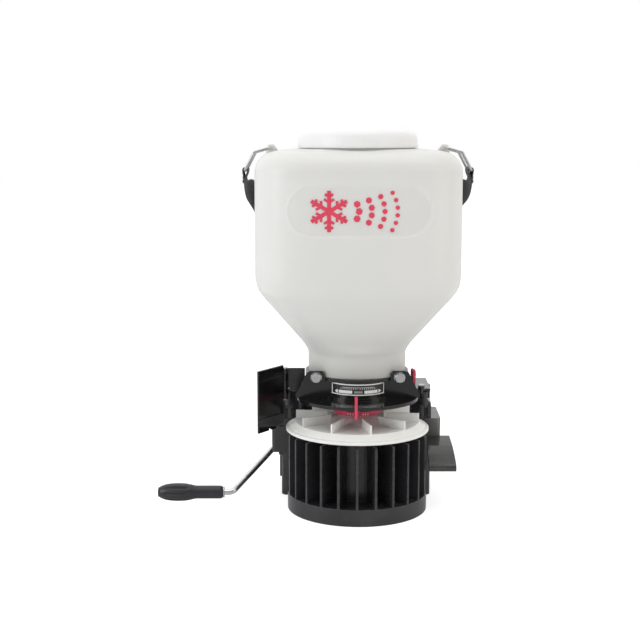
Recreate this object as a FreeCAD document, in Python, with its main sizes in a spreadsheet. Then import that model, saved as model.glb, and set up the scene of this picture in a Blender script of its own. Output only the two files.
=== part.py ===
"""Hand-cranked granule spreader: a blow-moulded hopper clamped in a collar over a
finned gear housing, with a ten-vane throwing disc driven 6:1 from a cranked
handle, a direction dial, a feed gate, a side deflector, a hand rest and a strap.

Frame: millimetres, +Z up.  The origin is the centre of the base's underside on
the throwing disc's axis.  The disc throws towards -Y (the front), the user's
body is on the +Y side (the rear) and the crank handle is on the -X side.
"""
import FreeCAD, Part
import math
import os
import re
from types import SimpleNamespace

import Sketcher

V = FreeCAD.Vector
Rot = FreeCAD.Rotation
Pl = FreeCAD.Placement

doc = FreeCAD.newDocument("granule_spreader")

# ------------------------------------------------------------ driving dimensions
DIMENSIONS = [
    # base housing
    ("drum_rad", 87.0, "finned drum radius"),
    ("plinth_top", 20.6, "top of the plain band"),
    ("fin_top", 98.4, "top of the radial fins"),
    ("fin_wide", 2.8, "fin thickness"),
    ("fin_step", 15.0, "angle between fins"),
    ("fin_phase", -1.5, "angle of the front fin"),
    ("fin_nose", 4.0, "chamfer at the fin's outer top"),
    ("well_rad", 52.0, "gear well outer radius"),
    ("wall", 3.0, "moulding wall"),
    ("deck_top", 96.0, "top of the gear well deck"),
    ("cover_thick", 3.0, "bottom cover thickness"),
    ("rear_half", 108.6, "rear block half width, upper"),
    ("low_half", 96.3, "rear block half width, lower"),
    ("rear_front", 45.0, "front face of the rear block"),
    ("rear_back", 112.0, "back face of the rear block"),
    ("rear_top", 102.0, "top of the rear block"),
    ("rear_step", 57.0, "height where the block widens"),
    ("pocket_rad", 92.0, "pocket round the throwing disc"),
    # gear train
    ("crank_y", 60.0, "crank and jackshaft distance behind the disc axis"),
    ("crank_z", 60.0, "crank axis height"),
    ("spur_mod", 1.5, "spur gear module"),
    ("spur_big", 60.0, "spur gear teeth"),
    ("spur_small", 20.0, "spur pinion teeth"),
    ("spur_low", 10.0, "underside of the spur gears"),
    ("spur_face", 8.0, "spur face width"),
    ("bevel_mod", 1.25, "bevel module at the large end"),
    ("bevel_big", 36.0, "bevel gear teeth"),
    ("bevel_small", 18.0, "bevel pinion teeth"),
    ("bevel_face", 8.0, "bevel face width"),
    ("backlash", 0.24, "tooth gap at the pitch line"),
    ("shaft_rad", 5.0, "disc shaft and jackshaft radius"),
    ("bush_rad", 8.0, "bush outer radius"),
    ("pin_rad", 1.5, "cross pin and hinge pin radius"),
    ("run_gap", 0.04, "radial running clearance"),
    ("fit_gap", 0.02, "radial clearance of a fixed fit"),
    # crank
    ("rod_rad", 3.75, "crank rod radius"),
    ("crank_arm", 78.0, "crank throw"),
    ("crank_rest", 58.5, "rest angle of the arm forward of straight down"),
    ("grip_in", -168.0, "inner end of the grip"),
    ("grip_out", -248.0, "outer end of the grip"),
    ("grip_rad", 11.15, "grip bulb radius"),
    ("crank_wall", -98.3, "face that carries the crank's outer bush"),
    ("crank_bend", -106.0, "where the rod turns into the arm"),
    # throwing disc
    ("disc_rad", 89.0, "throwing disc radius"),
    ("disc_low", 100.0, "underside of the disc"),
    ("disc_rim", 103.6, "top of the disc rim"),
    ("disc_deck", 110.3, "top of the disc inside the rim step"),
    ("step_rad", 76.5, "radius where the flange meets the deck"),
    ("cone_rad", 36.0, "foot of the hub cone"),
    ("cone_top", 118.2, "top of the hub cone"),
    ("vane_in", 37.0, "vane inner radius"),
    ("vane_out", 77.0, "vane outer radius"),
    ("vane_top", 121.4, "vane top"),
    ("vane_thick", 1.8, "vane thickness"),
    ("vane_count", 10.0, "number of vanes"),
    ("vane_phase", -81.5, "angle of the first vane at rest"),
    # outlet and dial
    ("flange_rad", 75.5, "outlet plate front radius"),
    ("flange_low", 139.0, "outlet plate underside"),
    ("flange_top", 143.0, "outlet plate top"),
    ("boss_rad", 38.0, "label boss radius"),
    ("boss_top", 168.0, "label boss top"),
    ("dial_rad", 30.0, "direction dial radius"),
    ("dial_low", 121.6, "direction dial underside"),
    ("dial_thick", 6.0, "direction dial band height"),
    ("dial_hub", 22.0, "direction dial hub radius"),
    ("pointer_in", 76.9, "pointer blade inner radius"),
    ("pointer_out", 79.7, "pointer blade outer radius"),
    ("pointer_top", 157.0, "pointer blade top"),
    ("pointer_wide", 3.4, "pointer width"),
    ("pointer_low", 129.5, "underside of the pointer arm"),
    ("pointer_turn", -2.7, "dial angle at rest"),
    ("gate_rad", 30.0, "feed gate disc radius"),
    ("gate_low", 143.6, "feed gate underside"),
    ("gate_thick", 2.0, "feed gate thickness"),
    ("gate_angle", 15.7, "feed gate arm angle at rest"),
    # collar
    ("plate_front", -20.0, "front face of the collar plate"),
    ("plate_thick", 3.1, "collar plate thickness"),
    ("plate_low", 145.3, "collar plate underside"),
    ("ear_top", 176.5, "top of the collar ears"),
    ("ear_in", 41.8, "inner edge of an ear"),
    ("ear_out", 61.0, "outer top corner of an ear"),
    ("skirt_half", 76.0, "half width of the plate foot"),
    ("bolt_x", 51.2, "collar bolt offset"),
    ("bolt_z", 168.6, "collar bolt height"),
    # hopper and lid
    ("neck_rad", 61.0, "hopper neck radius"),
    ("neck_y", 29.0, "hopper axis behind the disc axis"),
    ("neck_low", 168.3, "underside of the neck step"),
    ("neck_top", 198.0, "neck meets the funnel"),
    ("funnel_half", 120.3, "funnel half width at its top"),
    ("funnel_top", 271.0, "top of the straight funnel"),
    ("body_half", 126.2, "hopper half width"),
    ("body_deep", 100.0, "hopper half depth"),
    ("shoulder_low", 425.0, "start of the shoulder"),
    ("shoulder_top", 446.5, "top of the shoulder at the fill neck"),
    ("skin", 3.0, "hopper wall"),
    ("mouth_rad", 66.0, "fill opening radius"),
    ("lid_rad", 74.0, "lid radius"),
    ("lid_low", 447.2, "lid skirt underside"),
    ("lid_top", 472.0, "lid top"),
    # deflector and strap
    ("hinge_x", -90.5, "deflector hinge position"),
    ("hinge_y", 15.0, "deflector hinge position"),
    ("defl_low", 100.5, "deflector underside"),
    ("defl_top", 178.0, "deflector top"),
    ("defl_long", 55.5, "deflector length"),
    ("defl_turn", 235.4, "deflector direction at rest"),
    ("defl_thick", 2.5, "deflector thickness"),
    ("lug_x", 107.0, "strap lug offset"),
    ("lug_z", 447.0, "strap lug pin height"),
    ("bail_rad", 1.8, "strap bail wire radius"),
    ("web_wide", 38.0, "webbing width"),
    ("web_thick", 1.8, "webbing thickness"),
]
dim = SimpleNamespace(**{alias: value for alias, value, note in DIMENSIONS})
sheet = doc.addObject("Spreadsheet::Sheet", "Dims")
for row, (alias, value, note) in enumerate(DIMENSIONS, start=1):
    sheet.set("A%d" % row, alias)
    sheet.set("B%d" % row, repr(value))
    sheet.set("C%d" % row, note)
    sheet.setAlias("B%d" % row, alias)
doc.recompute()

# Places shared by several pieces
SIDES = (-1, 1)
ALONG_X = Rot(V(0, 1, 0), 90)
X_AXIS, Y_AXIS, Z_AXIS = V(1, 0, 0), V(0, 1, 0), V(0, 0, 1)
COVER_SCREWS = [(-84.5, 103.5), (84.5, 103.5), (-62, -30), (62, -30)]
POSTS = [(side * x, y) for side in SIDES for x, y in ((84, 50), (70, 98))]
ON_PLATE = dim.flange_top + 0.1                   # parts that stand on the outlet plate
PLATE_BACK = dim.plate_front + dim.plate_thick    # rear face of the collar plate


# ----------------------------------------------------------- sheet expressions
def sheet_expr(text):
    """The text with the sheet's name in front of every alias."""
    return re.sub(r"[A-Za-z_][A-Za-z_0-9]*",
                  lambda word: "Dims." + word.group(0) if word.group(0) in vars(dim)
                  else word.group(0), text)


def value_of(size):
    """The number that a sum of products of aliases and numbers stands for."""
    if not isinstance(size, str):
        return float(size)
    total = 0.0
    for sign, term in re.findall(r"([+-]?)([^+-]+)", size.replace(" ", "")):
        product, operator = 1.0, "*"
        for piece in re.split(r"([*/])", term):
            if piece in "*/":
                operator = piece
                continue
            number = getattr(dim, piece) if piece in vars(dim) else float(piece)
            product = product * number if operator == "*" else product / number
        total += -product if sign == "-" else product
    return total


def bind(obj, prop, size):
    """Set a property to a number, or bind it to a sheet expression."""
    if isinstance(size, str):
        obj.setExpression(prop, sheet_expr(size))
    else:
        setattr(obj, prop, size)


def place(obj, x, y, z, turn):
    obj.Placement = Pl(V(value_of(x), value_of(y), value_of(z)), turn)
    for axis, size in (("x", x), ("y", y), ("z", z)):
        if isinstance(size, str):
            obj.setExpression("Placement.Base." + axis, sheet_expr(size))


# ------------------------------------------------------------- bound primitives
def add(kind, stem):
    return doc.addObject(kind, "%s%03d" % (stem, len(doc.Objects)))


def cyl(radius, length, x=0.0, y=0.0, z=0.0, turn=Rot()):
    obj = add("Part::Cylinder", "cyl")
    bind(obj, "Radius", radius)
    bind(obj, "Height", length)
    place(obj, x, y, z, turn)
    return obj


def crank_cyl(radius, length, x):
    """A cylinder on the crank axis, from x towards +X."""
    return cyl(radius, length, x, "crank_y", "crank_z", ALONG_X)


def cone(radius_1, radius_2, length, x=0.0, y=0.0, z=0.0, turn=Rot()):
    obj = add("Part::Cone", "cone")
    bind(obj, "Radius1", radius_1)
    bind(obj, "Radius2", radius_2)
    bind(obj, "Height", length)
    place(obj, x, y, z, turn)
    return obj


def box(size_x, size_y, size_z, x, y, z, turn=Rot()):
    obj = add("Part::Box", "box")
    bind(obj, "Length", size_x)
    bind(obj, "Width", size_y)
    bind(obj, "Height", size_z)
    place(obj, x, y, z, turn)
    return obj


def fuse(*objs):
    obj = add("Part::MultiFuse", "fuse")
    obj.Shapes = list(objs)
    return obj


def cut(base, *tools):
    obj = add("Part::Cut", "cut")
    obj.Base = base
    obj.Tool = tools[0] if len(tools) == 1 else fuse(*tools)
    return obj


def group(objs):
    obj = add("Part::Compound", "group")
    obj.Links = list(objs)
    return obj


def feature(shape):
    obj = add("Part::Feature", "piece")
    obj.Shape = shape
    return obj


# ------------------------------------------------------------ PartDesign bodies
def sketch(body, name, role, points, lift=0.0):
    """A closed polygon whose corners are held by distances bound to the sheet."""
    profile = body.newObject("Sketcher::SketchObject", name)
    plane = next(item for item in body.Origin.OriginFeatures if item.Role == role)
    profile.AttachmentSupport = [(plane, "")]
    profile.MapMode = "FlatFace"
    if lift:
        profile.AttachmentOffset = Pl(V(0, 0, value_of(lift)), Rot())
        if isinstance(lift, str):
            profile.setExpression("AttachmentOffset.Base.z", sheet_expr(lift))
    corners = [V(value_of(x), value_of(y), 0) for x, y in points]
    count = len(corners)
    for i in range(count):
        line = Part.LineSegment(corners[i], corners[(i + 1) % count])
        profile.addGeometry(line, False)
    for i in range(count):
        profile.addConstraint(Sketcher.Constraint("Coincident", i, 2, (i + 1) % count, 1))
    # -1 is the sketch's horizontal axis and origin, -2 its vertical axis
    for i, (x, y) in enumerate(points):
        for kind, size, number, axis in (("DistanceX", x, corners[i].x, -2),
                                         ("DistanceY", y, corners[i].y, -1)):
            if abs(number) < 1e-9:
                profile.addConstraint(Sketcher.Constraint("PointOnObject", i, 1, axis))
                continue
            index = profile.addConstraint(Sketcher.Constraint(kind, -1, 1, i, 1, number))
            if isinstance(size, str):
                profile.setExpression("Constraints[%d]" % index, sheet_expr(size))
    return profile


def revolve(body, name, points):
    """Turn a (radius, height) outline about Z."""
    profile = sketch(body, name + "Sketch", "XZ_Plane", points)
    turned = body.newObject("PartDesign::Revolution", name)
    turned.Profile = profile
    turned.ReferenceAxis = (profile, ["V_Axis"])
    turned.Angle = 360.0
    body.Tip = turned
    doc.recompute()


def prismatic(kind, body, name, points, length, lift):
    """A Pad or Pocket of an (x, y) outline lifted to a height."""
    profile = sketch(body, name + "Sketch", "XY_Plane", points, lift)
    result = body.newObject("PartDesign::" + kind, name)
    result.Profile = profile
    bind(result, "Length", length)
    body.Tip = result
    doc.recompute()
    return result


# ------------------------------------------------------------------ solid shapes
def bar(radius, length, x, y, z, way=Z_AXIS):
    return Part.makeCylinder(radius, length, V(x, y, z), way)


def block(size_x, size_y, size_z, x, y, z):
    return Part.makeBox(size_x, size_y, size_z, V(x, y, z))


def side_block(side, size_x, size_y, size_z, near, y, z):
    """A block whose face nearest the middle is at x = near on the given side."""
    return block(size_x, size_y, size_z, near if side > 0 else -near - size_x, y, z)


def polygon_face(points):
    return Part.Face(Part.makePolygon([V(*p) for p in points] + [V(*points[0])]))


def extrude_poly(points, way):
    return polygon_face(points).extrude(V(*way))


def revolve_poly(points, centre=(0, 0, 0), axis=(0, 0, 1), angle=360.0):
    return polygon_face(points).revolve(V(*centre), V(*axis), angle)


def sector(inner, outer, low, high, start, end, x=0.0, y=0.0):
    """A ring sector between two radii, two heights and two angles in degrees."""
    cos, sin = math.cos(math.radians(start)), math.sin(math.radians(start))
    points = [(x + r * cos, y + r * sin, z)
              for r, z in ((inner, low), (outer, low), (outer, high), (inner, high))]
    return revolve_poly(points, (x, y, 0), (0, 0, 1), end - start)


def largest(shape):
    return max(shape.Solids, key=lambda solid: solid.Volume)


def round_path(points, radius):
    """A wire through the points with its inner corners rounded."""
    points = [V(*p) for p in points]
    edges = []
    here = points[0]
    for before, corner, after in zip(points, points[1:], points[2:]):
        way_back = (before - corner).normalize()
        way_on = (after - corner).normalize()
        angle = way_back.getAngle(way_on)
        if abs(angle - math.pi) < 1e-3:
            continue
        setback = radius / math.tan(angle / 2)
        start, end = corner + way_back * setback, corner + way_on * setback
        inward = (way_back + way_on).normalize()
        middle = corner + inward * (radius / math.sin(angle / 2) - radius)
        if (start - here).Length > 1e-4:
            edges.append(Part.LineSegment(here, start).toShape())
        edges.append(Part.Arc(start, middle, end).toShape())
        here = end
    edges.append(Part.LineSegment(here, points[-1]).toShape())
    return Part.Wire(edges)


def wire_rod(points, radius, bend):
    """A round rod swept along the points with bent corners."""
    start, second = V(*points[0]), V(*points[1])
    circle = Part.Wire([Part.Circle(start, second - start, radius).toShape()])
    shape = round_path(points, bend).makePipeShell([circle], True, True)
    # the sweep may come back as a shell
    return shape if shape.ShapeType == "Solid" else Part.Solid(shape)


# ------------------------------------------------------------------ base housing
def fin_ring():
    """Radial fins round the drum's front and sides, their outer tops chamfered."""
    fins = []
    for k in range(-7, 8):
        turn = Rot(Z_AXIS, -90.0 + dim.fin_phase + k * dim.fin_step)
        corner = turn.multVec(V(dim.well_rad - dim.wall, -dim.fin_wide / 2, 0))
        fins.append(box("drum_rad - well_rad + wall", "fin_wide", "fin_top - plinth_top + wall",
                        corner.x, corner.y, "plinth_top - wall", turn))
    nose_low = "fin_top - fin_nose"
    trim = cut(cyl("drum_rad + 6", 20, 0, 0, nose_low),
               cone("drum_rad + 0.5", "drum_rad - fin_nose", "fin_nose + 0.5", 0, 0, nose_low))
    return cut(fuse(*fins), trim)


def rounded_block(half_width, height, z, radius):
    """A block of the rear housing with its vertical edges rounded."""
    blank = box("2*" + half_width, "rear_back - rear_front", height,
                "0 - " + half_width, "rear_front", z)
    doc.recompute()
    rounded = add("Part::Fillet", "fillet")
    rounded.Base = blank
    rounded.Edges = [(i, radius, radius) for i, edge in enumerate(blank.Shape.Edges, start=1)
                     if abs(edge.tangentAt(edge.FirstParameter).z) > 0.99]
    return rounded


def housing_shell():
    outer = fuse(
        cyl("drum_rad", "plinth_top"),
        fin_ring(),
        cyl("well_rad", "deck_top"),
        box("2*well_rad", "rear_front + wall", "deck_top", "0 - well_rad", 0, 0),
        rounded_block("rear_half", "rear_top - rear_step", "rear_step", 4.6),
        rounded_block("low_half", "rear_step + 1", 0, 8.0))
    hollow = fuse(
        cyl("drum_rad - wall", "plinth_top - 2*wall", 0, 0, "wall"),
        cyl("drum_rad - wall - 6", "wall + 1", 0, 0, -1),
        cyl("well_rad - wall", "deck_top - wall + 1", 0, 0, -1),
        box(98, "rear_back - wall", "deck_top - wall + 1", -49, 0, -1),
        box("2*low_half - 2*wall", "rear_back - rear_front - 2*wall", "rear_step + wall + 2",
            "wall - low_half", "rear_front + wall", -1),
        box("rear_half - wall - 2 - crank_wall - wall", "rear_back - rear_front - 2*wall",
            "deck_top - rear_step - 2*wall",
            "crank_wall + wall", "rear_front + wall", "rear_step + wall"))
    # the crank leaves through a flared recess in the block's -X face
    crank_seat = crank_cyl(11.0, 10.0, "crank_wall")
    flare = cone(12.8, 10.6, "rear_half + crank_wall + 0.4",
                 "0 - rear_half - 0.4", "crank_y", "crank_z", ALONG_X)
    disc_pocket = cyl("pocket_rad", 40, 0, 0, "deck_top")
    return cut(fuse(outer, crank_seat), hollow, flare, disc_pocket)


def base_housing():
    shell = housing_shell()
    bearing_bosses = fuse(
        cyl("bush_rad + 3.5", 16, 0, 0, "deck_top - 14"),            # disc shaft
        cyl("bush_rad + 3.5", 8.8, 0, "crank_y", "deck_top - 5.8"),  # jackshaft
        box(6, 34, "deck_top - 38", -51, "crank_y - 17", 38),        # inner crank wall
        crank_cyl("bush_rad + 5", 12.5, "crank_wall + 2.2"))
    bores = fuse(
        cyl("bush_rad + fit_gap", 40, 0, 0, "deck_top - 20"),
        cyl("bush_rad + fit_gap", 10, 0, "crank_y", "deck_top - 7.5"),
        *[cyl(2.15, 9, x, y, "rear_top - 5") for x, y in POSTS],
        crank_cyl("bush_rad - 0.5 + fit_gap", 70, "0 - rear_half - 5"))
    screw_bosses = fuse(*[cyl(6, 14.5, x, y, 3.2) for x, y in COVER_SCREWS])
    screw_holes = fuse(*[cyl(1.9, 11, x, y, 3.0) for x, y in COVER_SCREWS])
    cover_seat = fuse(cyl("drum_rad - wall", "cover_thick + 1", 0, 0, -1),
                      box("2*low_half - 2*wall", "rear_back - rear_front - wall + 10",
                          "cover_thick + 1", "wall - low_half", "rear_front - 10", -1))
    return cut(fuse(shell, bearing_bosses, screw_bosses), bores, screw_holes, cover_seat)


def bottom_cover():
    sheet_part = fuse(cyl("drum_rad - wall - 0.3", "cover_thick"),
                      box("2*low_half - 2*wall - 0.6", "rear_back - rear_front - wall - 0.6",
                          "cover_thick", "wall + 0.3 - low_half", "rear_front + 0.3", 0))
    cups = [cyl("bush_rad + 2", 3.5, 0, y, 2.8) for y in (0, "crank_y")]
    bush_seats = [cyl("bush_rad - 1.98", 6, 0, y, 1.0) for y in (0, "crank_y")]
    screw_holes = [cyl(2.2, 8, x, y, -1) for x, y in COVER_SCREWS]
    head_sinks = [cyl(4.1, 2.0, x, y, -1) for x, y in COVER_SCREWS]
    return cut(fuse(sheet_part, *cups), *bush_seats, *screw_holes, *head_sinks)


def cover_screws():
    return group(fuse(cyl(3.9, 0.9, x, y, 0.05), cyl(1.8, 10.0, x, y, 0.5))
                 for x, y in COVER_SCREWS)


# ------------------------------------------------------------------------ bushes
def foot_bush(y):
    """A blind bush in the bottom cover."""
    return cut(cyl("bush_rad - 2", 5.2, 0, y, 1.02),
               cyl("shaft_rad - 1 + run_gap", 8, 0, y, 2.0))


def deck_bush(length, y, z):
    """A through bush in the gear well deck."""
    return cut(cyl("bush_rad", length, 0, y, z),
               cyl("shaft_rad + run_gap", 20, 0, y, "deck_top - 16"))


def crank_outer_bush():
    return cut(fuse(crank_cyl("bush_rad - 0.5", 14, "crank_wall - 1"),
                    crank_cyl("bush_rad + 2", 1.6, "crank_wall - 1.63")),
               crank_cyl("rod_rad + run_gap", 30, "crank_wall - 10"))


def crank_inner_bush():
    return cut(crank_cyl("bush_rad - 0.5", 10, -53), crank_cyl("rod_rad + run_gap", 30, -60))


# ------------------------------------------------------------------------- gears
PRESSURE_ANGLE = math.radians(20.0)
DEDENDUM = 1.25       # in modules; the addendum is one module


def tooth_flank(teeth, module, steps):
    """(radius, half angle) pairs of one involute tooth from its root to its tip."""
    pitch_rad = teeth * module / 2.0
    base_rad = pitch_rad * math.cos(PRESSURE_ANGLE)
    tip_rad = pitch_rad + module
    root_rad = pitch_rad - DEDENDUM * module
    half = (math.pi / (2 * teeth) - dim.backlash / (2 * pitch_rad) / 2
            + math.tan(PRESSURE_ANGLE) - PRESSURE_ANGLE)
    flank = [(root_rad, half)] if root_rad < base_rad else []
    start = max(base_rad, root_rad)
    for i in range(steps + 1):
        radius = start + (tip_rad - start) * i / steps
        # kept just outside the base circle, where the square root is real
        roll = math.sqrt((max(radius, base_rad * 1.0000001) / base_rad) ** 2 - 1)
        flank.append((radius, half - (roll - math.atan(roll))))
    return flank


def spur(teeth, low, face, phase):
    """A spur gear on Z with one tooth centred on the angle phase."""
    flank = tooth_flank(teeth, dim.spur_mod, steps=4)
    outline = [(r, -half) for r, half in flank] + [(r, half) for r, half in reversed(flank)]
    points = []
    for k in range(int(teeth)):
        mid = phase + 2 * math.pi * k / teeth
        points += [(r * math.cos(mid + a), r * math.sin(mid + a), low) for r, a in outline]
    return extrude_poly(points, (0, 0, face))


def spur_gear():
    """The large gear on the jackshaft: a tooth points at the disc axis."""
    low, face, shaft = dim.spur_low, dim.spur_face, dim.shaft_rad
    gear = spur(dim.spur_big, low, face, -math.pi / 2)
    gear = gear.cut(bar(shaft, face + 20, 0, 0, low - 5))
    for k in range(6):
        angle = math.radians(60 * k)
        gear = gear.cut(bar(8.5, face + 2, 26 * math.cos(angle), 26 * math.sin(angle), low - 1))
    gear = gear.fuse(bar(9.0, 6.0, 0, 0, low + face).cut(bar(shaft, 30, 0, 0, low)))
    gear.translate(V(0, dim.crank_y, 0))
    return feature(gear)


def disc_pinion():
    """The pinion on the disc shaft: a tooth space faces the gear."""
    low, face, teeth = dim.spur_low - 1.0, dim.spur_face + 2.0, dim.spur_small
    pinion = spur(teeth, low, face, math.pi / 2 + math.pi / teeth)
    pinion = pinion.fuse(bar(9.0, 6.0, 0, 0, dim.spur_low + dim.spur_face + 1.0))
    return feature(pinion.cut(bar(dim.shaft_rad, 60, 0, 0, 0)))


def bevel_cone(teeth, mate):
    """Sine and cosine of the pitch angle, cone distance and back cone radius."""
    pitch_rad = teeth * dim.bevel_mod / 2.0
    pitch_angle = math.atan2(teeth, mate)
    sin, cos = math.sin(pitch_angle), math.cos(pitch_angle)
    return sin, cos, pitch_rad / sin, pitch_rad / cos


def bevel_back(teeth, mate):
    """Distance from the cone apex to the root plane at the large end."""
    sin, cos, cone_distance, back_rad = bevel_cone(teeth, mate)
    return cone_distance / cos - (back_rad - DEDENDUM * dim.bevel_mod) * sin


def bevel(teeth, mate, hub_length):
    """A straight bevel gear with its cone apex at the origin and its axis +Z:
    the large end is towards +Z, and one tooth is centred on +X."""
    module = dim.bevel_mod
    sin, cos, cone_distance, back_rad = bevel_cone(teeth, mate)
    flank = tooth_flank(teeth / cos, module, steps=3)
    root = back_rad - DEDENDUM * module
    low = root - 0.35 * module

    def on_back(r, angle=0.0, scale=1.0):
        """A point of the back cone, scaled towards the apex."""
        turn = angle / cos
        return V(r * cos * math.cos(turn), r * cos * math.sin(turn),
                 cone_distance / cos - r * sin) * scale

    ring = ([on_back(low, -flank[0][1])] + [on_back(r, -half) for r, half in flank]
            + [on_back(r, half) for r, half in reversed(flank)] + [on_back(low, flank[0][1])])
    # the tooth is a pyramid from the apex through that outline, kept between
    # the back cone and a matching front cone
    big = [p * 1.12 for p in ring]
    small = [p * 0.55 for p in ring]
    count = len(ring)
    pairs = [(i, (i + 1) % count) for i in range(count)]
    faces = [polygon_face([small[i], small[j], big[j], big[i]]) for i, j in pairs]
    for end in (small, big):
        middle = V(0, 0, 0)
        for p in end:
            middle = middle + p
        middle = middle * (1.0 / count)
        faces += [polygon_face([middle, end[i], end[j]]) for i, j in pairs]
    skin = Part.makeShell(faces)
    skin.sewShape()
    tooth = Part.Solid(skin)
    # the sewn shell may face inwards
    if tooth.Volume < 0:
        tooth.reverse()

    front = (cone_distance - dim.bevel_face) / cone_distance
    deep, tip = low - 3 * module, back_rad + 3 * module
    tooth = tooth.common(revolve_poly([on_back(deep, scale=front), on_back(tip, scale=front),
                                       on_back(tip), on_back(deep)]))
    root_front, root_back = on_back(root, scale=front), on_back(root)
    core = revolve_poly([(0, 0, root_front.z), root_front, root_back, (0, 0, root_back.z)])
    all_teeth = []
    for k in range(int(teeth)):
        turned = tooth.copy()
        turned.rotate(V(0, 0, 0), Z_AXIS, 360.0 * k / teeth)
        all_teeth.append(turned)
    return core.fuse(all_teeth).fuse(bar(8.0, hub_length, 0, 0, root_back.z - 0.5))


# the cross pin through the crank's bevel gear hub, measured from the cone apex
GEAR_PIN = bevel_back(dim.bevel_big, dim.bevel_small) + 7
PIN_HOLE_RAD = dim.pin_rad + dim.fit_gap


def crank_bevel_gear():
    wheel = bevel(dim.bevel_big, dim.bevel_small, hub_length=12.0)
    wheel = wheel.cut(bar(dim.rod_rad, 60, 0, 0, -10))
    wheel = wheel.cut(bar(PIN_HOLE_RAD, 40, 0, -20, GEAR_PIN, Y_AXIS))
    # axis +Z becomes -X and the tooth at +X turns to -Z
    wheel.Placement = Pl(V(0, dim.crank_y, dim.crank_z),
                         Rot(V(0, 0, -1), V(0, -1, 0), V(-1, 0, 0), "XZY"))
    return feature(wheel)


def jackshaft_bevel_pinion():
    pinion = bevel(dim.bevel_small, dim.bevel_big, hub_length=6.0)
    pinion = pinion.cut(bar(dim.shaft_rad, 60, 0, 0, -10))
    # half a tooth pitch puts a tooth space in the mesh
    pinion.rotate(V(0, 0, 0), Z_AXIS, 180.0 / dim.bevel_small)
    # axis +Z becomes -Z and +X becomes -X
    facing = Pl(V(0, dim.crank_y, dim.crank_z),
                Rot(V(-1, 0, 0), V(0, 1, 0), V(0, 0, -1), "XZY"))
    pinion.Placement = facing.multiply(pinion.Placement)
    return feature(pinion)


# ------------------------------------------------------------------------ shafts
def disc_cross_bar(radius, length):
    """A bar across the disc shaft, square to the first vane."""
    way = Rot(Z_AXIS, dim.vane_phase).multVec(Y_AXIS)
    return feature(Part.makeCylinder(radius, length,
                                     way * (-length / 2) + V(0, 0, dim.cone_top - 4), way))


def shaft(length, y):
    """A shaft standing in a foot bush on a thinner journal."""
    return fuse(cyl("shaft_rad - 1", 5, 0, y, 2.1), cyl("shaft_rad", length, 0, y, 7.0))


def disc_shaft():
    return cut(shaft(141, 0), disc_cross_bar(PIN_HOLE_RAD, 20))


def disc_shaft_clip():
    return cut(cyl(8.5, 1.5, 0, 0, "deck_top - 16"),
               cyl("shaft_rad + 0.03", 4, 0, 0, "deck_top - 17"))


# ------------------------------------------------------------------------- crank
GRIP_Y = dim.crank_y - dim.crank_arm * math.sin(math.radians(dim.crank_rest))
GRIP_Z = dim.crank_z - dim.crank_arm * math.cos(math.radians(dim.crank_rest))

# (distance outboard of the grip's inner end, radius): a shank that swells to a bulb
GRIP_PROFILE = [
    (0.0, 6.3), (1.8, 8.2), (34.0, 8.2), (37.0, 8.7), (42.0, 10.0), (49.0, 11.0),
    (57.0, dim.grip_rad), (66.0, 10.8), (73.0, 9.6), (78.0, 7.6),
    (dim.grip_in - dim.grip_out, 6.2),
]


def crank_rod():
    points = [(-7.5, dim.crank_y, dim.crank_z), (dim.crank_bend, dim.crank_y, dim.crank_z),
              (-156.0, GRIP_Y, GRIP_Z), (dim.grip_out + 3.5, GRIP_Y, GRIP_Z)]
    hole = bar(PIN_HOLE_RAD, 40, -GEAR_PIN, dim.crank_y - 20, dim.crank_z, Y_AXIS)
    return feature(wire_rod(points, dim.rod_rad, bend=11.0).cut(hole))


def crank_gear_pin():
    length = 15
    return feature(bar(dim.pin_rad, length, -GEAR_PIN, dim.crank_y - length / 2, dim.crank_z,
                       Y_AXIS))


def crank_stop_collar():
    return cut(crank_cyl(8, 6, -81), crank_cyl("rod_rad + fit_gap", 10, -83))


def crank_grip():
    inner, outer = dim.grip_in, dim.grip_out
    bore = dim.rod_rad + 0.08
    points = [(inner - distance, 0, radius) for distance, radius in GRIP_PROFILE]
    grip = revolve_poly(points + [(outer, 0, bore), (inner, 0, bore)], axis=(1, 0, 0))
    flute_rad, flute_offset = 2.6, dim.grip_rad + 0.9
    flute_out, flute_in = inner - 70.0, inner - 44.0
    for k in range(8):
        angle = math.radians(45 * k + 22.5)
        flute = bar(flute_rad, flute_in - flute_out, flute_out, 0, 0, X_AXIS).fuse(
            [Part.makeSphere(flute_rad, V(x, 0, 0)) for x in (flute_out, flute_in)])
        flute.translate(V(0, flute_offset * math.cos(angle), flute_offset * math.sin(angle)))
        grip = grip.cut(flute)
    grip.translate(V(0, GRIP_Y, GRIP_Z))
    return feature(grip)


def grip_end_cap():
    end = dim.grip_out - 1.3
    return feature(bar(6.0, 1.2, end, GRIP_Y, GRIP_Z, X_AXIS).fuse(
        bar(3.0, 2.6, end, GRIP_Y, GRIP_Z, X_AXIS)))


def grip_washer():
    return feature(bar(7.0, 1.4, dim.grip_in + 0.2, GRIP_Y, GRIP_Z, X_AXIS).cut(
        bar(dim.rod_rad + dim.fit_gap, 4, dim.grip_in - 1, GRIP_Y, GRIP_Z, X_AXIS)))


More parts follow.
